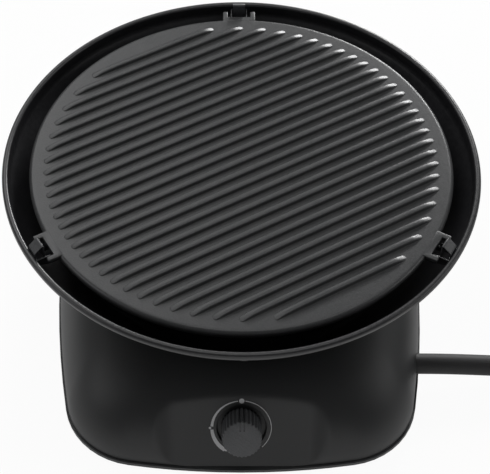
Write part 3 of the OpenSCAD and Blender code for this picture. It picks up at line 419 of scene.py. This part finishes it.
# %% [markdown]
# ## Non-stick cast aluminium
# The plate is cast aluminium under a baked ceramic coat, so no bare metal shows and the gloss is low.
# The spray leaves a grain of about a millimetre and the casting broad, faint clouds.
# The grain drives colour, roughness and a slight bump, so light breaks up over the margin.

# %% Plate finish
plate_finish, plate_shader, plate_place = new_finish("cast_aluminium_nonstick_coat")
grain = add_node(plate_finish, "ShaderNodeTexNoise", {"Vector": plate_place, "Scale": 900.0, "Detail": 3.0})
clouds = add_node(plate_finish, "ShaderNodeTexNoise", {"Vector": plate_place, "Scale": 60.0, "Detail": 4.0})
speck = two_tones(plate_finish, grain.outputs["Fac"], "#303132", "#3f4041")
cloud = two_tones(plate_finish, clouds.outputs["Fac"], "#333435", "#3b3b3c")
coat = add_node(plate_finish, "ShaderNodeMix", {"Factor": 0.5, "A": speck, "B": cloud}, data_type="RGBA")
link(plate_finish, coat.outputs["Result"], plate_shader.inputs["Base Color"])
link(plate_finish, spread(plate_finish, grain.outputs["Fac"], 0.24, 0.46), plate_shader.inputs["Roughness"])
relief(plate_finish, plate_shader, grain.outputs["Fac"], 0.45, 0.0002)
plate_shader.inputs["IOR"].default_value = 1.45
dress(grill_plate, "plate", "plate", plate_finish, "grill_plate")

# %% [markdown]
# ## Bowl
# The bowl is deep-drawn from one sheet.
# It has a flat floor, a conical side, a short upright wall and a rolled rim.
# A lathe section with a real wall keeps the rim's roll and the sheet's thickness.
# The bends are drawn as arcs, because the light runs along them in thin bright lines.

# %% Bowl section
BOWL_IN, SHEET = 189.9, 1.2
HOLE_R, FLOOR_Z = 72.6, 85
SLOPE_DEG, BEND = 52, 16.0
SIDE_TOP_Z, TOP_BEND, TOP_BEND_Z = 155.5, 8, 158.25
ROLL_IN, ROLL_OUT = (192.1, 163.8), (192.5, 163.5)
SLOPE = radians(SLOPE_DEG)
bend_z = FLOOR_Z + SHEET + BEND
side_run = (SIDE_TOP_Z + BEND * cos(SLOPE) - bend_z) / sin(SLOPE)
bend_x = BOWL_IN - side_run * cos(SLOPE) - BEND * sin(SLOPE)


def bowl_side(wall):
    lower = round_arc(bend_x, bend_z, BEND + wall, -90, SLOPE_DEG - 90, 10)
    return lower + round_arc(BOWL_IN - TOP_BEND, TOP_BEND_Z, TOP_BEND + wall, SLOPE_DEG - 90, 0, 8)


bowl_section = [(HOLE_R, FLOOR_Z), (HOLE_R, 98.8), (73.2, 99.4), (73.8, 98.8), (73.8, 87.4), (75, 86.2)]
bowl_section += bowl_side(0) + round_arc(*ROLL_IN, 2.2, 180, 90, 7) + round_arc(*ROLL_OUT, 2.5, 90, 0, 8)
bowl_section += [(195, 161.4), (194.7, 161), (194.1, 161), (193.8, 161.4)]
bowl_section += round_arc(*ROLL_OUT, 1.3, 0, 90, 6) + round_arc(*ROLL_IN, 1.0, 90, 180, 6)
bowl_section += bowl_side(SHEET)[::-1] + [(HOLE_R, FLOOR_Z)]
bowl_body = turn("bowl_body", bowl_section, steps=240)
settle(bowl_body, (0, AXIS_Y, 0))
print("bowl's inner bend starts at, mm:", round(bend_x, 1))

# %% Tab under the front of the rim
TAB_HALF, TAB_OUT, TAB_IN, TAB_H, TAB_Z = 2.4, -194.7, -193.5, 2.2, 159.8
tab = cut_sheet("rim_tab", [(-TAB_HALF, TAB_OUT), (TAB_HALF, TAB_OUT), (TAB_HALF, TAB_IN),
                            (-TAB_HALF, TAB_IN)], TAB_H)
finish_piece(tab, ("BEVEL", {"width": 0.3 * MM, "segments": 2}))
settle(tab, (0, AXIS_Y, TAB_Z))
bowl = join("bowl_enamelled", [bowl_body, tab])
print("bowl faces:", len(bowl.data.polygons))

# %% [markdown]
# ## Black enamel
# Enamel is glass fired on steel, so it has a smooth coat with a soft, wide gloss and a faint orange peel.
# The waves are a few millimetres across and only just bend the reflections.
# The colour stays near black, and the rim shows the room as a thin bright line.

# %% Bowl finish
bowl_finish, bowl_shader, bowl_place = new_finish("black_enamel_on_steel")
peel = add_node(bowl_finish, "ShaderNodeTexNoise", {"Vector": bowl_place, "Scale": 300.0, "Detail": 2.0})
bowl_tones = two_tones(bowl_finish, peel.outputs["Fac"], "#1e1e20", "#262628")
link(bowl_finish, bowl_tones, bowl_shader.inputs["Base Color"])
link(bowl_finish, spread(bowl_finish, peel.outputs["Fac"], 0.3, 0.4), bowl_shader.inputs["Roughness"])
relief(bowl_finish, bowl_shader, peel.outputs["Fac"], 0.12, 0.0002)
bowl_shader.inputs["IOR"].default_value = 1.5
dress(bowl, "bowl", "bowl", bowl_finish, "bowl")

# %% [markdown]
# ## Plate clips
# Each ear hangs on a clip of folded sheet that is riveted to the bowl's wall.
# A strap climbs the wall, slopes up to a crest and turns down into the notch.
# Two flanges beside it carry the plate.
# The parts are cut in side view and then given their width, as a sheet-metal worker would see them.

# %% Strip outline
def strip(points, sheet):
    sides = ([], [])
    for i, (x, y) in enumerate(points):
        (ax, ay), (bx, by) = points[max(i - 1, 0)], points[min(i + 1, len(points) - 1)]
        run = hypot(bx - ax, by - ay)
        nx, ny = -(by - ay) / run * sheet / 2, (bx - ax) / run * sheet / 2
        sides[0].append((x + nx, y + ny))
        sides[1].append((x - nx, y - ny))
    return sides[0] + sides[1][::-1]


print("outline of a straight strip:", len(strip([(0, 0), (10, 0)], 1)), "corners")

# %% One clip
GAUGE, STRAP_W, CLIP_HALF = 1.0, 10.6, 7.2
CLIP_Z, BACK_X, BACK_H = 155.9, 188.6, 5.7
fold = [(189.1, 156), (189.1, 166.6), (188.85, 167.4), (188.3, 168.0), (183.2, 172.0), (182.5, 172.4),
        (181.9, 172.4), (181.5, 171.9), (181.4, 171.2), (181.4, 157.5)]
strap = cut_sheet("clip_strap", strip(fold, GAUGE), STRAP_W)
settle(strap, (0, STRAP_W / 2, 0), (radians(90), 0, 0))
flange_line = [(189.1, CLIP_Z), (189.1, 161.6), (177.2, 161.6), (176.4, 160.8), (176.4, 156.5),
               (166, 156.5), (166, 151.5), (176.4, 151.5), (185.6, 154.5)]
parts = [strap]
for edge in (CLIP_HALF, GAUGE - CLIP_HALF):
    flange = cut_sheet("clip_flange", flange_line, GAUGE)
    settle(flange, (0, edge, 0), (radians(90), 0, 0))
    parts.append(flange)
back = cut_sheet("clip_back", [(BACK_X, -CLIP_HALF), (BACK_X + GAUGE, -CLIP_HALF),
                               (BACK_X + GAUGE, CLIP_HALF), (BACK_X, CLIP_HALF)], BACK_H)
settle(back, (0, 0, CLIP_Z))
parts.append(back)
for part in parts:
    finish_piece(part, ("BEVEL", {"width": 0.2 * MM, "segments": 2, "limit_method": "ANGLE"}))
clip = join("plate_clip", parts)
print("clip faces:", len(clip.data.polygons))

# %% [markdown]
# ## Dark coated sheet
# The clips are spring steel under a thin dark coat, smoother than the plate and a little lighter on edges.
# Fine drawn lines run along the sheet, about half a millimetre apart, with small changes in gloss.

# %% Clip finish
clip_finish, clip_shader, clip_place = new_finish("dark_coated_steel_sheet")
drawn = add_node(clip_finish, "ShaderNodeMapping", {"Vector": clip_place, "Scale": (1.0, 1.0, 8.0)})
lines = add_node(clip_finish, "ShaderNodeTexNoise",
                 {"Vector": drawn.outputs["Vector"], "Scale": 400.0, "Detail": 3.0})
clip_tones = two_tones(clip_finish, lines.outputs["Fac"], "#2e2f31", "#414244")
link(clip_finish, clip_tones, clip_shader.inputs["Base Color"])
link(clip_finish, spread(clip_finish, lines.outputs["Fac"], 0.3, 0.45), clip_shader.inputs["Roughness"])
clip_shader.inputs["IOR"].default_value = 1.5
for name, turned in zip(("back", "left", "right"), EAR_TURNS):
    one = copy_piece(clip)
    one.name = one.data.name = "plate_clip_" + name
    settle(one, (0, 0, 0), (0, 0, radians(turned)), smooth=30)
    settle(one, (0, AXIS_Y, 0), smooth=30)
    dress(one, "bowl", "bracket", clip_finish, "plate_bracket_" + name)
bpy.data.objects.remove(clip)

# %% [markdown]
# ## Base shell
# The shell is moulded in plastic: a rounded square at the foot flows up to a round top under the bowl.
# In front a flat panel is scooped out of it, and soft folds lead from the panel to the round corners.
# Box modelling would need many hand-placed loops, so this skin is a height over the ground plan,
# drawn on rings round the bowl's axis, which blends the shapes with folds of an exact radius.
# The rings get their faces from the same function as the rings of the hose.

# %% Ground plan of the base
def touching(c1, r1, c2, r2, r, side):
    c1, c2 = np.array(c1, float), np.array(c2, float)
    gap = np.linalg.norm(c2 - c1)
    u = (c2 - c1) / gap
    a = ((r1 - r) ** 2 - (r2 - r) ** 2 + gap * gap) / (2 * gap)
    h = sqrt((r1 - r) ** 2 - a * a)
    return c1 + a * u + side * h * np.array([u[1], -u[0]])


def angle_to(p, c):
    return atan2(p[1] - c[1], p[0] - c[0])


SIDE, FRONT, REAR = (-740, 20), (0, 404), (0, -450)
SIDE_R, END_R, CORNER, LIP = 900, 600, 65, 1.8
front_corner = touching(SIDE, SIDE_R, FRONT, END_R, CORNER, 1)
rear_corner = touching(SIDE, SIDE_R, REAR, END_R, CORNER, -1)
bends = [(FRONT, END_R, -pi / 2, angle_to(front_corner, FRONT)),
         (front_corner, CORNER, angle_to(front_corner, FRONT), angle_to(front_corner, SIDE)),
         (SIDE, SIDE_R, angle_to(front_corner, SIDE), angle_to(rear_corner, SIDE)),
         (rear_corner, CORNER, angle_to(rear_corner, SIDE), angle_to(rear_corner, REAR)),
         (REAR, END_R, angle_to(rear_corner, REAR), pi / 2)]
plan = np.array([(c[0] + (r - LIP) * cos(t), c[1] + (r - LIP) * sin(t))
                 for c, r, a, b in bends for t in np.linspace(a, b, 60)])
plan_angle = np.arctan2(plan[:, 1], plan[:, 0])
plan_reach = np.hypot(plan[:, 0], plan[:, 1])


def foot_reach(theta):
    folded = np.where(np.abs(theta) > pi / 2, np.sign(theta) * pi - theta, theta)
    return np.interp(folded, plan_angle, plan_reach)


reaches = [round(float(foot_reach(np.array(t))), 1) for t in (0, -pi / 2, pi / 2)]
print("base half width and depths, mm:", reaches)

# %% Height of the shell
TOP_R, TOP_Z = 100.0, 81.0
SCOOP_X, SCOOP_SOFT, SCOOP_RISE = 60.0, 7.0, 1.25
EDGE_FOLD, SIDE_FOLD, FOLD_RUN = 2.0, 5, 15


def blend_up(a, b, k):
    near = np.clip(k - np.abs(a - b), 0, None) / k
    return np.maximum(a, b) + near * near * k / 4


def shell_height(x, y):
    theta, r = np.arctan2(y, x), np.hypot(x, y)
    reach = foot_reach(theta)
    s = np.clip((reach - r) / (reach - TOP_R), 0, 1)
    dome = FOOT_Z + (TOP_Z - FOOT_Z) * np.sqrt(1 - (1 - s) ** 2)
    panel = FOOT_Z + (y - PANEL_Y) * tan(LEAN)
    past = np.abs(x) - SCOOP_X
    eased = np.clip(past + SCOOP_SOFT, 0, 2 * SCOOP_SOFT) ** 2 / (4 * SCOOP_SOFT)
    scoop = panel + SCOOP_RISE * np.where(past > SCOOP_SOFT, past, eased)
    cut = -blend_up(-dome, -scoop, EDGE_FOLD + SIDE_FOLD * np.clip(past / FOLD_RUN + 0.5, 0, 1))
    return np.maximum(np.where(y < -TOP_R * 0.5, cut, dome), FOOT_Z)


print("panel top at the middle, mm:", round(float(shell_height(np.array(0.0), np.array(-161.5))), 1))

# %% Shell skin
FRONT_SPAN, TOP_IN_R = 0.85, 80
front_steps = np.linspace(-pi / 2 - FRONT_SPAN, -pi / 2 + FRONT_SPAN, 240, endpoint=False)
other_steps = np.linspace(-pi / 2 + FRONT_SPAN, 3 * pi / 2 - FRONT_SPAN, 200, endpoint=False)
turns = (np.concatenate([front_steps, other_steps]) + pi) % (2 * pi) - pi
outer = foot_reach(turns)
front_cut = np.where(np.abs(outer * np.cos(turns)) < SCOOP_X,
                     PANEL_Y / np.minimum(np.sin(turns), -0.5), 1e9)
outer = np.where(np.sin(turns) < -0.5, np.minimum(outer, front_cut), outer)
rings = [outer + (TOP_R - outer) * (1 - cos(t)) for t in np.linspace(0, pi / 2, 80)]
rings += [np.full_like(outer, r) for r in np.linspace(TOP_R, TOP_IN_R, 7)[1:]]
skin = [np.stack([outer * np.cos(turns), outer * np.sin(turns), np.full_like(outer, FOOT_Z)], 1)]
for ring in rings:
    x, y = ring * np.cos(turns), ring * np.sin(turns)
    skin.append(np.stack([x, y, shell_height(x, y)], 1))
points = np.concatenate(skin)
points[:, 1] += AXIS_Y
shell = ring_skin("base_shell_moulded", points, len(turns))
deselect()
shell.select_set(True)
bpy.context.view_layer.objects.active = shell
bpy.ops.object.mode_set(mode="EDIT")
close_up()
print("shell skin faces:", len(shell.data.polygons))

# %% [markdown]
# The skin now gets its wall of 2.5 mm, and two openings are cut through it.
# One is the round recess for the knob, and one is the arch where the hose comes out.
# A boolean is the plain way for both, with cutters drawn by the same helpers.

# %% Wall and openings
WELL_R, ARCH_R, WALL = 20.8, 9.3, 2.5
well_cutter = turn("well_cutter", [(0, -30), (WELL_R, -30), (WELL_R, 20), (0, 20)])
settle(well_cutter, KNOB, (LEAN, 0, 0))
arch = [(-ARCH_R, 0), (ARCH_R, 0)] + round_arc(0, HOSE_Z, ARCH_R, 0, 180, 16)
hose_cutter = cut_sheet("hose_cutter", arch, 90)
settle(hose_cutter, (HOSE_X - 2, HOSE_Y + AXIS_Y, 0), (radians(90), 0, radians(90)))
finish_piece(shell, ("SOLIDIFY", {"thickness": WALL * MM, "offset": -1}),
             ("BOOLEAN", {"operation": "DIFFERENCE", "object": well_cutter, "solver": "EXACT"}),
             ("BOOLEAN", {"operation": "DIFFERENCE", "object": hose_cutter, "solver": "EXACT"}))
bpy.data.objects.remove(well_cutter)
bpy.data.objects.remove(hose_cutter)
settle(shell, smooth=35)
print("shell with openings:", len(shell.data.polygons), "faces")

# %% Well round the knob
well = turn("knob_well", [(6, -6.5), (20.9, -6.5), (20.9, -0.25), (20.7, 0), (20.35, 0), (20.1, -0.25),
                          (20.0, -3.6), (19.6, -4.0), (6, -4.0), (6, -6.5)], steps=120)
settle(well, KNOB, (LEAN, 0, 0))
print("well faces:", len(well.data.polygons))

# %% [markdown]
# ## Moulded shell plastic
# The shell is a heat-proof plastic out of a finely spark-eroded mould, so it is satin and never shiny.
# The erosion grain is about 0.3 mm across and is drawn at 0.7 mm, since a finer one would not show here.
# A broad, weak noise varies the gloss, as the flow of the melt does.

# %% Shell finish
def moulded(name, low, high, rough_low, rough_high, bump=0.15):
    material, shader, place = new_finish(name)
    fine = add_node(material, "ShaderNodeTexNoise", {"Vector": place, "Scale": 1400.0, "Detail": 2.0})
    broad = add_node(material, "ShaderNodeTexNoise", {"Vector": place, "Scale": 25.0, "Detail": 3.0})
    link(material, two_tones(material, fine.outputs["Fac"], low, high), shader.inputs["Base Color"])
    rough = spread(material, broad.outputs["Fac"], rough_low, rough_high)
    link(material, rough, shader.inputs["Roughness"])
    relief(material, shader, fine.outputs["Fac"], bump)
    shader.inputs["IOR"].default_value = 1.5
    return material


shell_finish = moulded("heatproof_plastic_spark_eroded", "#191a1b", "#212223", 0.45, 0.52)
base_shell = join("base_shell_moulded", [shell, well])
dress(base_shell, "base", "shell", shell_finish, "base_shell")

# %% [markdown]
# ## Knob
# The knob is moulded with thirty shallow ridges for grip and a flat face with a small step at its edge.
# It starts as a circle of edges whose points are moved in and out, and is then pulled up in steps.
# Two fine grooves mark its pointer, cut by a bent cutter that runs down the side and over the face.

# %% Knob body
RIDGES, PER = 30, 8
KNOB_R, RIDGE, SKIRT = 16.4, 0.8, 3.2
deselect()
bpy.ops.mesh.primitive_circle_add(vertices=RIDGES * PER, radius=KNOB_R * MM, fill_type="NOTHING")
knob = bpy.context.object
for i, point in enumerate(knob.data.vertices):
    wave = (0.5 - 0.5 * cos(2 * pi * (i + PER / 2) / PER)) ** 1.2
    point.co *= (KNOB_R - RIDGE + RIDGE * wave) / KNOB_R
bpy.ops.object.mode_set(mode="EDIT")
bpy.ops.mesh.select_all(action="SELECT")
bpy.ops.transform.translate(value=(0, 0, -SKIRT * MM))
size = 1.0
for lift, scale in ((23.2, 0.985), (0.25, 0.975), (0.15, 0.962), (0.55, 0.958), (0.2, 0.95), (0.12, 0.93)):
    bpy.ops.mesh.extrude_edges_move(TRANSFORM_OT_translate={"value": (0, 0, lift * MM)})
    bpy.ops.transform.resize(value=(scale / size, scale / size, 1))
    size = scale
bpy.ops.mesh.edge_face_add()
bpy.ops.mesh.select_all(action="SELECT")
bpy.ops.mesh.normals_make_consistent(inside=False)
bpy.ops.object.mode_set(mode="OBJECT")
finish_piece(knob, ("SOLIDIFY", {"thickness": 2.4 * MM, "offset": -1}))
print("knob faces:", len(knob.data.polygons))

# %% Pointer grooves
GROOVE_W, GROOVE_APART = 0.8, 1.6
groove_line = [(7.6, 20.2), (7.6, 22.5), (18, 22.5), (18, -4), (14.9, -4), (14.9, 20.2)]
for middle in (-GROOVE_APART, GROOVE_APART):
    cutter = cut_sheet("groove_cutter", groove_line, GROOVE_W)
    settle(cutter, (middle - GROOVE_W / 2, 0, 0), (radians(90), 0, radians(90)))
    finish_piece(knob, ("BOOLEAN", {"operation": "DIFFERENCE", "object": cutter, "solver": "EXACT"}))
    bpy.data.objects.remove(cutter)
hub = turn("knob_hub", [(3.05, -2.2), (6, -2.2), (6, 19.5), (3.05, 19.5), (3.05, -2.2)], steps=48)
knob = join("control_knob", [knob, hub])
settle(knob, KNOB, (LEAN, 0, 0), smooth=25)
print("knob with grooves:", len(knob.data.polygons), "faces")

# %% [markdown]
# ## Knob plastic
# The knob is glass-filled nylon, a touch lighter than the shell, with the same satin from the mould.

# %% Knob finish
knob_finish = moulded("glass_filled_nylon_satin", "#4f5052", "#5b5c5e", 0.42, 0.52)
dress(knob, "control", "knob", knob_finish, "knob")

# %% [markdown]
# ## Printed scale
# The scale is pad-printed in light grey.
# It has a dot at the top, a thin line one way and a growing wedge the other.
# Printing ink stands a few hundredths of a millimetre proud, so each mark is a thin slab on the panel.

# %% Marks of the scale
RING, INK_T = 24.0, 0.12
LINE_HALF, WEDGE_START, WEDGE_GROWTH = 0.3, 0.3, 1.35
WEDGE_SPLIT, WEDGE_REST = 0.54, 0.6


def on_ring(radius, degrees):
    return (-radius * sin(radians(degrees)), radius * cos(radians(degrees)))


def band(name, start, end, half_width, parts=48):
    angles = [start + (end - start) * i / parts for i in range(parts + 1)]
    halves = [half_width((a - start) / (end - start)) for a in angles]
    points = [on_ring(RING - h, a) for h, a in zip(halves, angles)]
    points += [on_ring(RING + h, a) for h, a in zip(halves[::-1], angles[::-1])]
    return cut_sheet(name, points, INK_T)


def dot(name, radius, degrees, size):
    x, y = on_ring(radius, degrees)
    return cut_sheet(name, round_arc(x, y, size, 0, 345, 23), INK_T)


def wedge(t):
    return WEDGE_START + WEDGE_GROWTH * min(t / 0.85, 1) * (1 if t < 0.97 else 0.25)


marks = [band("scale_line", -7, -136, lambda t: LINE_HALF),
         band("scale_wedge_upper", 7, 87, lambda t: wedge(t * WEDGE_SPLIT)),
         band("scale_wedge_lower", 93.5, 150, lambda t: wedge(WEDGE_REST + t * 0.4)),
         dot("scale_dot_top", RING, 0, 2.15), dot("scale_dot_side", RING + 1.5, 90.2, 1.05),
         dot("scale_dot_end", RING - 0.2, 156, 0.75)]
scale_print = join("scale_print", marks)
settle(scale_print, KNOB, (LEAN, 0, 0))
print("marks of the scale:", len(marks))

# %% Ink finish
ink, ink_shader, ink_place = new_finish("light_grey_printing_ink")
ink_grain = add_node(ink, "ShaderNodeTexNoise", {"Vector": ink_place, "Scale": 2000.0, "Detail": 2.0})
link(ink, two_tones(ink, ink_grain.outputs["Fac"], "#cfcfd1", "#dededf"), ink_shader.inputs["Base Color"])
link(ink, spread(ink, ink_grain.outputs["Fac"], 0.45, 0.6), ink_shader.inputs["Roughness"])
ink_shader.inputs["IOR"].default_value = 1.5
dress(scale_print, "base", "shell", ink)

# %% [markdown]
# ## Rubber of the hose
# A gas hose is extruded rubber with a dull skin, fine streaks along its length and a little bloom.
# The streaks follow the run of the hose, so they read the unrolled place that was stored with each point.

# %% Hose finish
rubber, rubber_shader, _ = new_finish("extruded_black_rubber")
unrolled_place = add_node(rubber, "ShaderNodeAttribute", attribute_name="hose_place")
along = add_node(rubber, "ShaderNodeMapping",
                 {"Vector": unrolled_place.outputs["Vector"], "Scale": (0.15, 1.0, 1.0)})
streaks = add_node(rubber, "ShaderNodeTexNoise",
                   {"Vector": along.outputs["Vector"], "Scale": 900.0, "Detail": 3.0})
rubber_tones = two_tones(rubber, streaks.outputs["Fac"], "#1d1d1e", "#272728")
link(rubber, rubber_tones, rubber_shader.inputs["Base Color"])
link(rubber, spread(rubber, streaks.outputs["Fac"], 0.55, 0.7), rubber_shader.inputs["Roughness"])
relief(rubber, rubber_shader, streaks.outputs["Fac"], 0.2)
rubber_shader.inputs["IOR"].default_value = 1.52
hose.data.materials.append(rubber)
settle(hose)
print("hose finish:", rubber.name)

# %% [markdown]
# ## Finishes of the solid pieces
# The tray, the feet and everything under the plate keep their solid shape and get their real finish.
# Metal parts share one recipe with a fine noise in colour and gloss, and differ in colour and streaks.
# A metal keeps the default IOR, because its colour already says how it reflects.

# %% Metal recipe
def metal(name, low, high, rough_low, rough_high, scale, stretch=(1, 1, 1), bump=0.1):
    material, shader, place = new_finish(name)
    run = add_node(material, "ShaderNodeMapping", {"Vector": place, "Scale": stretch})
    noise = add_node(material, "ShaderNodeTexNoise",
                     {"Vector": run.outputs["Vector"], "Scale": scale, "Detail": 4.0})
    link(material, two_tones(material, noise.outputs["Fac"], low, high), shader.inputs["Base Color"])
    rough = spread(material, noise.outputs["Fac"], rough_low, rough_high)
    link(material, rough, shader.inputs["Roughness"])
    relief(material, shader, noise.outputs["Fac"], bump)
    shader.inputs["Metallic"].default_value = 1.0
    return material


zinc = metal("zinc_plated_steel", "#a3a6a8", "#c3c5c4", 0.28, 0.42, 220.0)
steel = metal("turned_steel", "#8f9193", "#b0b1b2", 0.22, 0.35, 500.0, (1, 1, 6))
brass = metal("turned_brass", "#a8853f", "#c6a35a", 0.22, 0.36, 500.0, (6, 1, 1))
pipe_metal = metal("drawn_aluminium_pipe", "#a5a7a9", "#c5c6c7", 0.3, 0.42, 350.0, (1, 0.2, 1))
cast_metal = metal("cast_burner_aluminium", "#6d6c69", "#86847f", 0.5, 0.68, 700.0, bump=0.5)
rivet_metal = metal("dark_steel_rivet", "#4a4b4d", "#66676a", 0.32, 0.45, 600.0)
metals = (zinc, steel, brass, pipe_metal, cast_metal, rivet_metal)
print("metals:", ", ".join(m.name for m in metals))

# %% Plastics, rubber, ceramic and silicone
tray_finish = moulded("tray_plastic_black", "#2b2c2d", "#333435", 0.42, 0.52)
foot_rubber = moulded("foot_rubber_black", "#161616", "#1f1f1f", 0.65, 0.8, 0.3)
igniter_plastic = moulded("igniter_plastic", "#222325", "#2c2d2f", 0.3, 0.4)
ceramic = moulded("glazed_ceramic", "#e4e0d6", "#efece4", 0.08, 0.15, 0.02)
silicone = moulded("red_silicone_sleeve", "#7c1d16", "#98291f", 0.45, 0.6)
others = (tray_finish, foot_rubber, igniter_plastic, ceramic, silicone)
print("other finishes:", ", ".join(m.name for m in others))

# %% Put the finishes on
finishes = {"bracket_rivets": rivet_metal, "bowl_seat": zinc, "seat_screws": steel,
            "base_tray": tray_finish, "bottom_screws": zinc, "feet": foot_rubber, "knob_clip": zinc,
            "valve_spindle": steel, "valve_body": brass, "valve_nut": zinc, "valve_bracket": zinc,
            "bracket_screws": zinc, "igniter": igniter_plastic, "electrode": ceramic,
            "electrode_tip": steel, "electrode_lead": silicone, "outlet_pipe": pipe_metal,
            "injector_holder": brass, "injector": brass, "venturi_tube": pipe_metal,
            "burner_body": cast_metal, "burner_cap": cast_metal, "burner_screws": zinc,
            "inlet_pipe": pipe_metal, "nozzle_bracket": zinc, "hose_nozzle": brass, "nozzle_nut": brass,
            "hose_clip": zinc, "hose_end_fitting": brass}
for node_name, finish in finishes.items():
    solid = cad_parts[node_name]
    solid.data.materials.clear()
    solid.data.materials.append(finish)
print("solid pieces dressed:", len(finishes))

# %% [markdown]
# ## Floor and backdrop
# A product photograph on white has a floor and a backdrop that both burn out to white.
# The light stays plain, and the white comes only from what the camera and the gloss see.
# The floor is part white by itself and part lit, so it keeps the object's soft shadow.

# %% Floor
FLOOR_SEEN, FLOOR_MIRRORED = 0.95, 0.55
deselect()
bpy.ops.mesh.primitive_plane_add(size=12, location=(0, 0, 0))
floor = bpy.context.object
floor.name = "studio_floor"
floor_paint, floor_shader, floor_place = new_finish("pale_studio_floor")
mottle = add_node(floor_paint, "ShaderNodeTexNoise", {"Vector": floor_place, "Scale": 3.0, "Detail": 2.0})
floor_tones = two_tones(floor_paint, mottle.outputs["Fac"], "#e6e6e6", "#e9e9e9")
link(floor_paint, floor_tones, floor_shader.inputs["Base Color"])
floor_shader.inputs["Roughness"].default_value = 0.9
floor_shader.inputs["Specular IOR Level"].default_value = 0.0
rays = add_node(floor_paint, "ShaderNodeLightPath")
glow = add_node(floor_paint, "ShaderNodeEmission", {"Color": (1, 1, 1, 1), "Strength": 1.0})
direct = combine(floor_paint, "MULTIPLY", rays.outputs["Is Camera Ray"], FLOOR_SEEN)
mirrored = combine(floor_paint, "MULTIPLY", rays.outputs["Is Glossy Ray"], FLOOR_MIRRORED)
through = combine(floor_paint, "MAXIMUM", rays.outputs["Is Transmission Ray"], mirrored)
seen = combine(floor_paint, "MAXIMUM", direct, through)
blend = add_node(floor_paint, "ShaderNodeMixShader",
                 {0: seen, 1: floor_shader.outputs["BSDF"], 2: glow.outputs["Emission"]})
floor_output = next(n for n in floor_paint.node_tree.nodes if n.type == "OUTPUT_MATERIAL")
link(floor_paint, blend.outputs["Shader"], floor_output.inputs["Surface"])
floor.data.materials.append(floor_paint)
print("floor ready")

# %% Backdrop
ROOM_LIGHT, ROOM_MIRRORED = 0.06, 0.1
world = bpy.data.worlds.new("white_studio")
bpy.context.scene.world = world
bpy.context.scene.view_settings.view_transform = "Standard"
world.use_nodes = True
world.node_tree.nodes.clear()
path = add_node(world, "ShaderNodeLightPath")
soft = add_node(world, "ShaderNodeBackground", {"Color": (1, 1, 1, 1), "Strength": ROOM_LIGHT})
white = add_node(world, "ShaderNodeBackground", {"Color": (1, 1, 1, 1), "Strength": 1.0})
either = combine(world, "MAXIMUM", path.outputs["Is Camera Ray"], path.outputs["Is Transmission Ray"])
part_gloss = combine(world, "MULTIPLY", path.outputs["Is Glossy Ray"], ROOM_MIRRORED)
choose = add_node(world, "ShaderNodeMixShader",
                  {0: combine(world, "MAXIMUM", either, part_gloss),
                   1: soft.outputs["Background"], 2: white.outputs["Background"]})
sky = add_node(world, "ShaderNodeOutputWorld")
link(world, choose.outputs["Shader"], sky.inputs["Surface"])
print("backdrop ready")

# %% [markdown]
# ## Light
# One large soft light stands high behind the grill, so the fronts of the ribs stay dark.
# A small light stands low on the right, where the sloping ends of the ribs throw it at the camera.
# A weak light overhead fills the plate, and weak lights at the sides and in front shape the base.
# All are kept at a plain level, so that a colour comes out about as it was written.

# %% Lamps
def softbox(name, place, aim, width, height, watts):
    bpy.ops.object.light_add(type="AREA", location=place)
    lamp = bpy.context.object
    lamp.name = name
    lamp.data.shape = "RECTANGLE"
    lamp.data.size, lamp.data.size_y = width, height
    lamp.data.energy = watts
    lamp.rotation_euler = (Vector(aim) - Vector(place)).to_track_quat("-Z", "Y").to_euler()


# Each row is a name, a place and an aim in metres, a width and a height in metres, and watts.
for row in [("softbox_behind", (-0.9, 1.45, 1.9), (0, 0, 0.1), 1.8, 1.2, 19),
            ("softbox_low_behind", (0.8, 1.95, 0.92), (0, 0, 0.15), 0.8, 0.32, 38),
            ("softbox_overhead", (0, 0, 2.4), (0, 0, 0), 2.0, 1.0, 12),
            ("softbox_left", (-1.8, -0.35, 1.05), (0, -0.1, 0.08), 1.0, 0.9, 5),
            ("softbox_right", (1.8, -0.1, 0.95), (0, -0.1, 0.08), 1.0, 0.9, 5),
            ("softbox_front", (0, -2.2, 0.3), (0, -0.1, 0.06), 1.4, 0.4, 3)]:
    softbox(*row)

# %% [markdown]
# ## Finish


print("scene dressed")
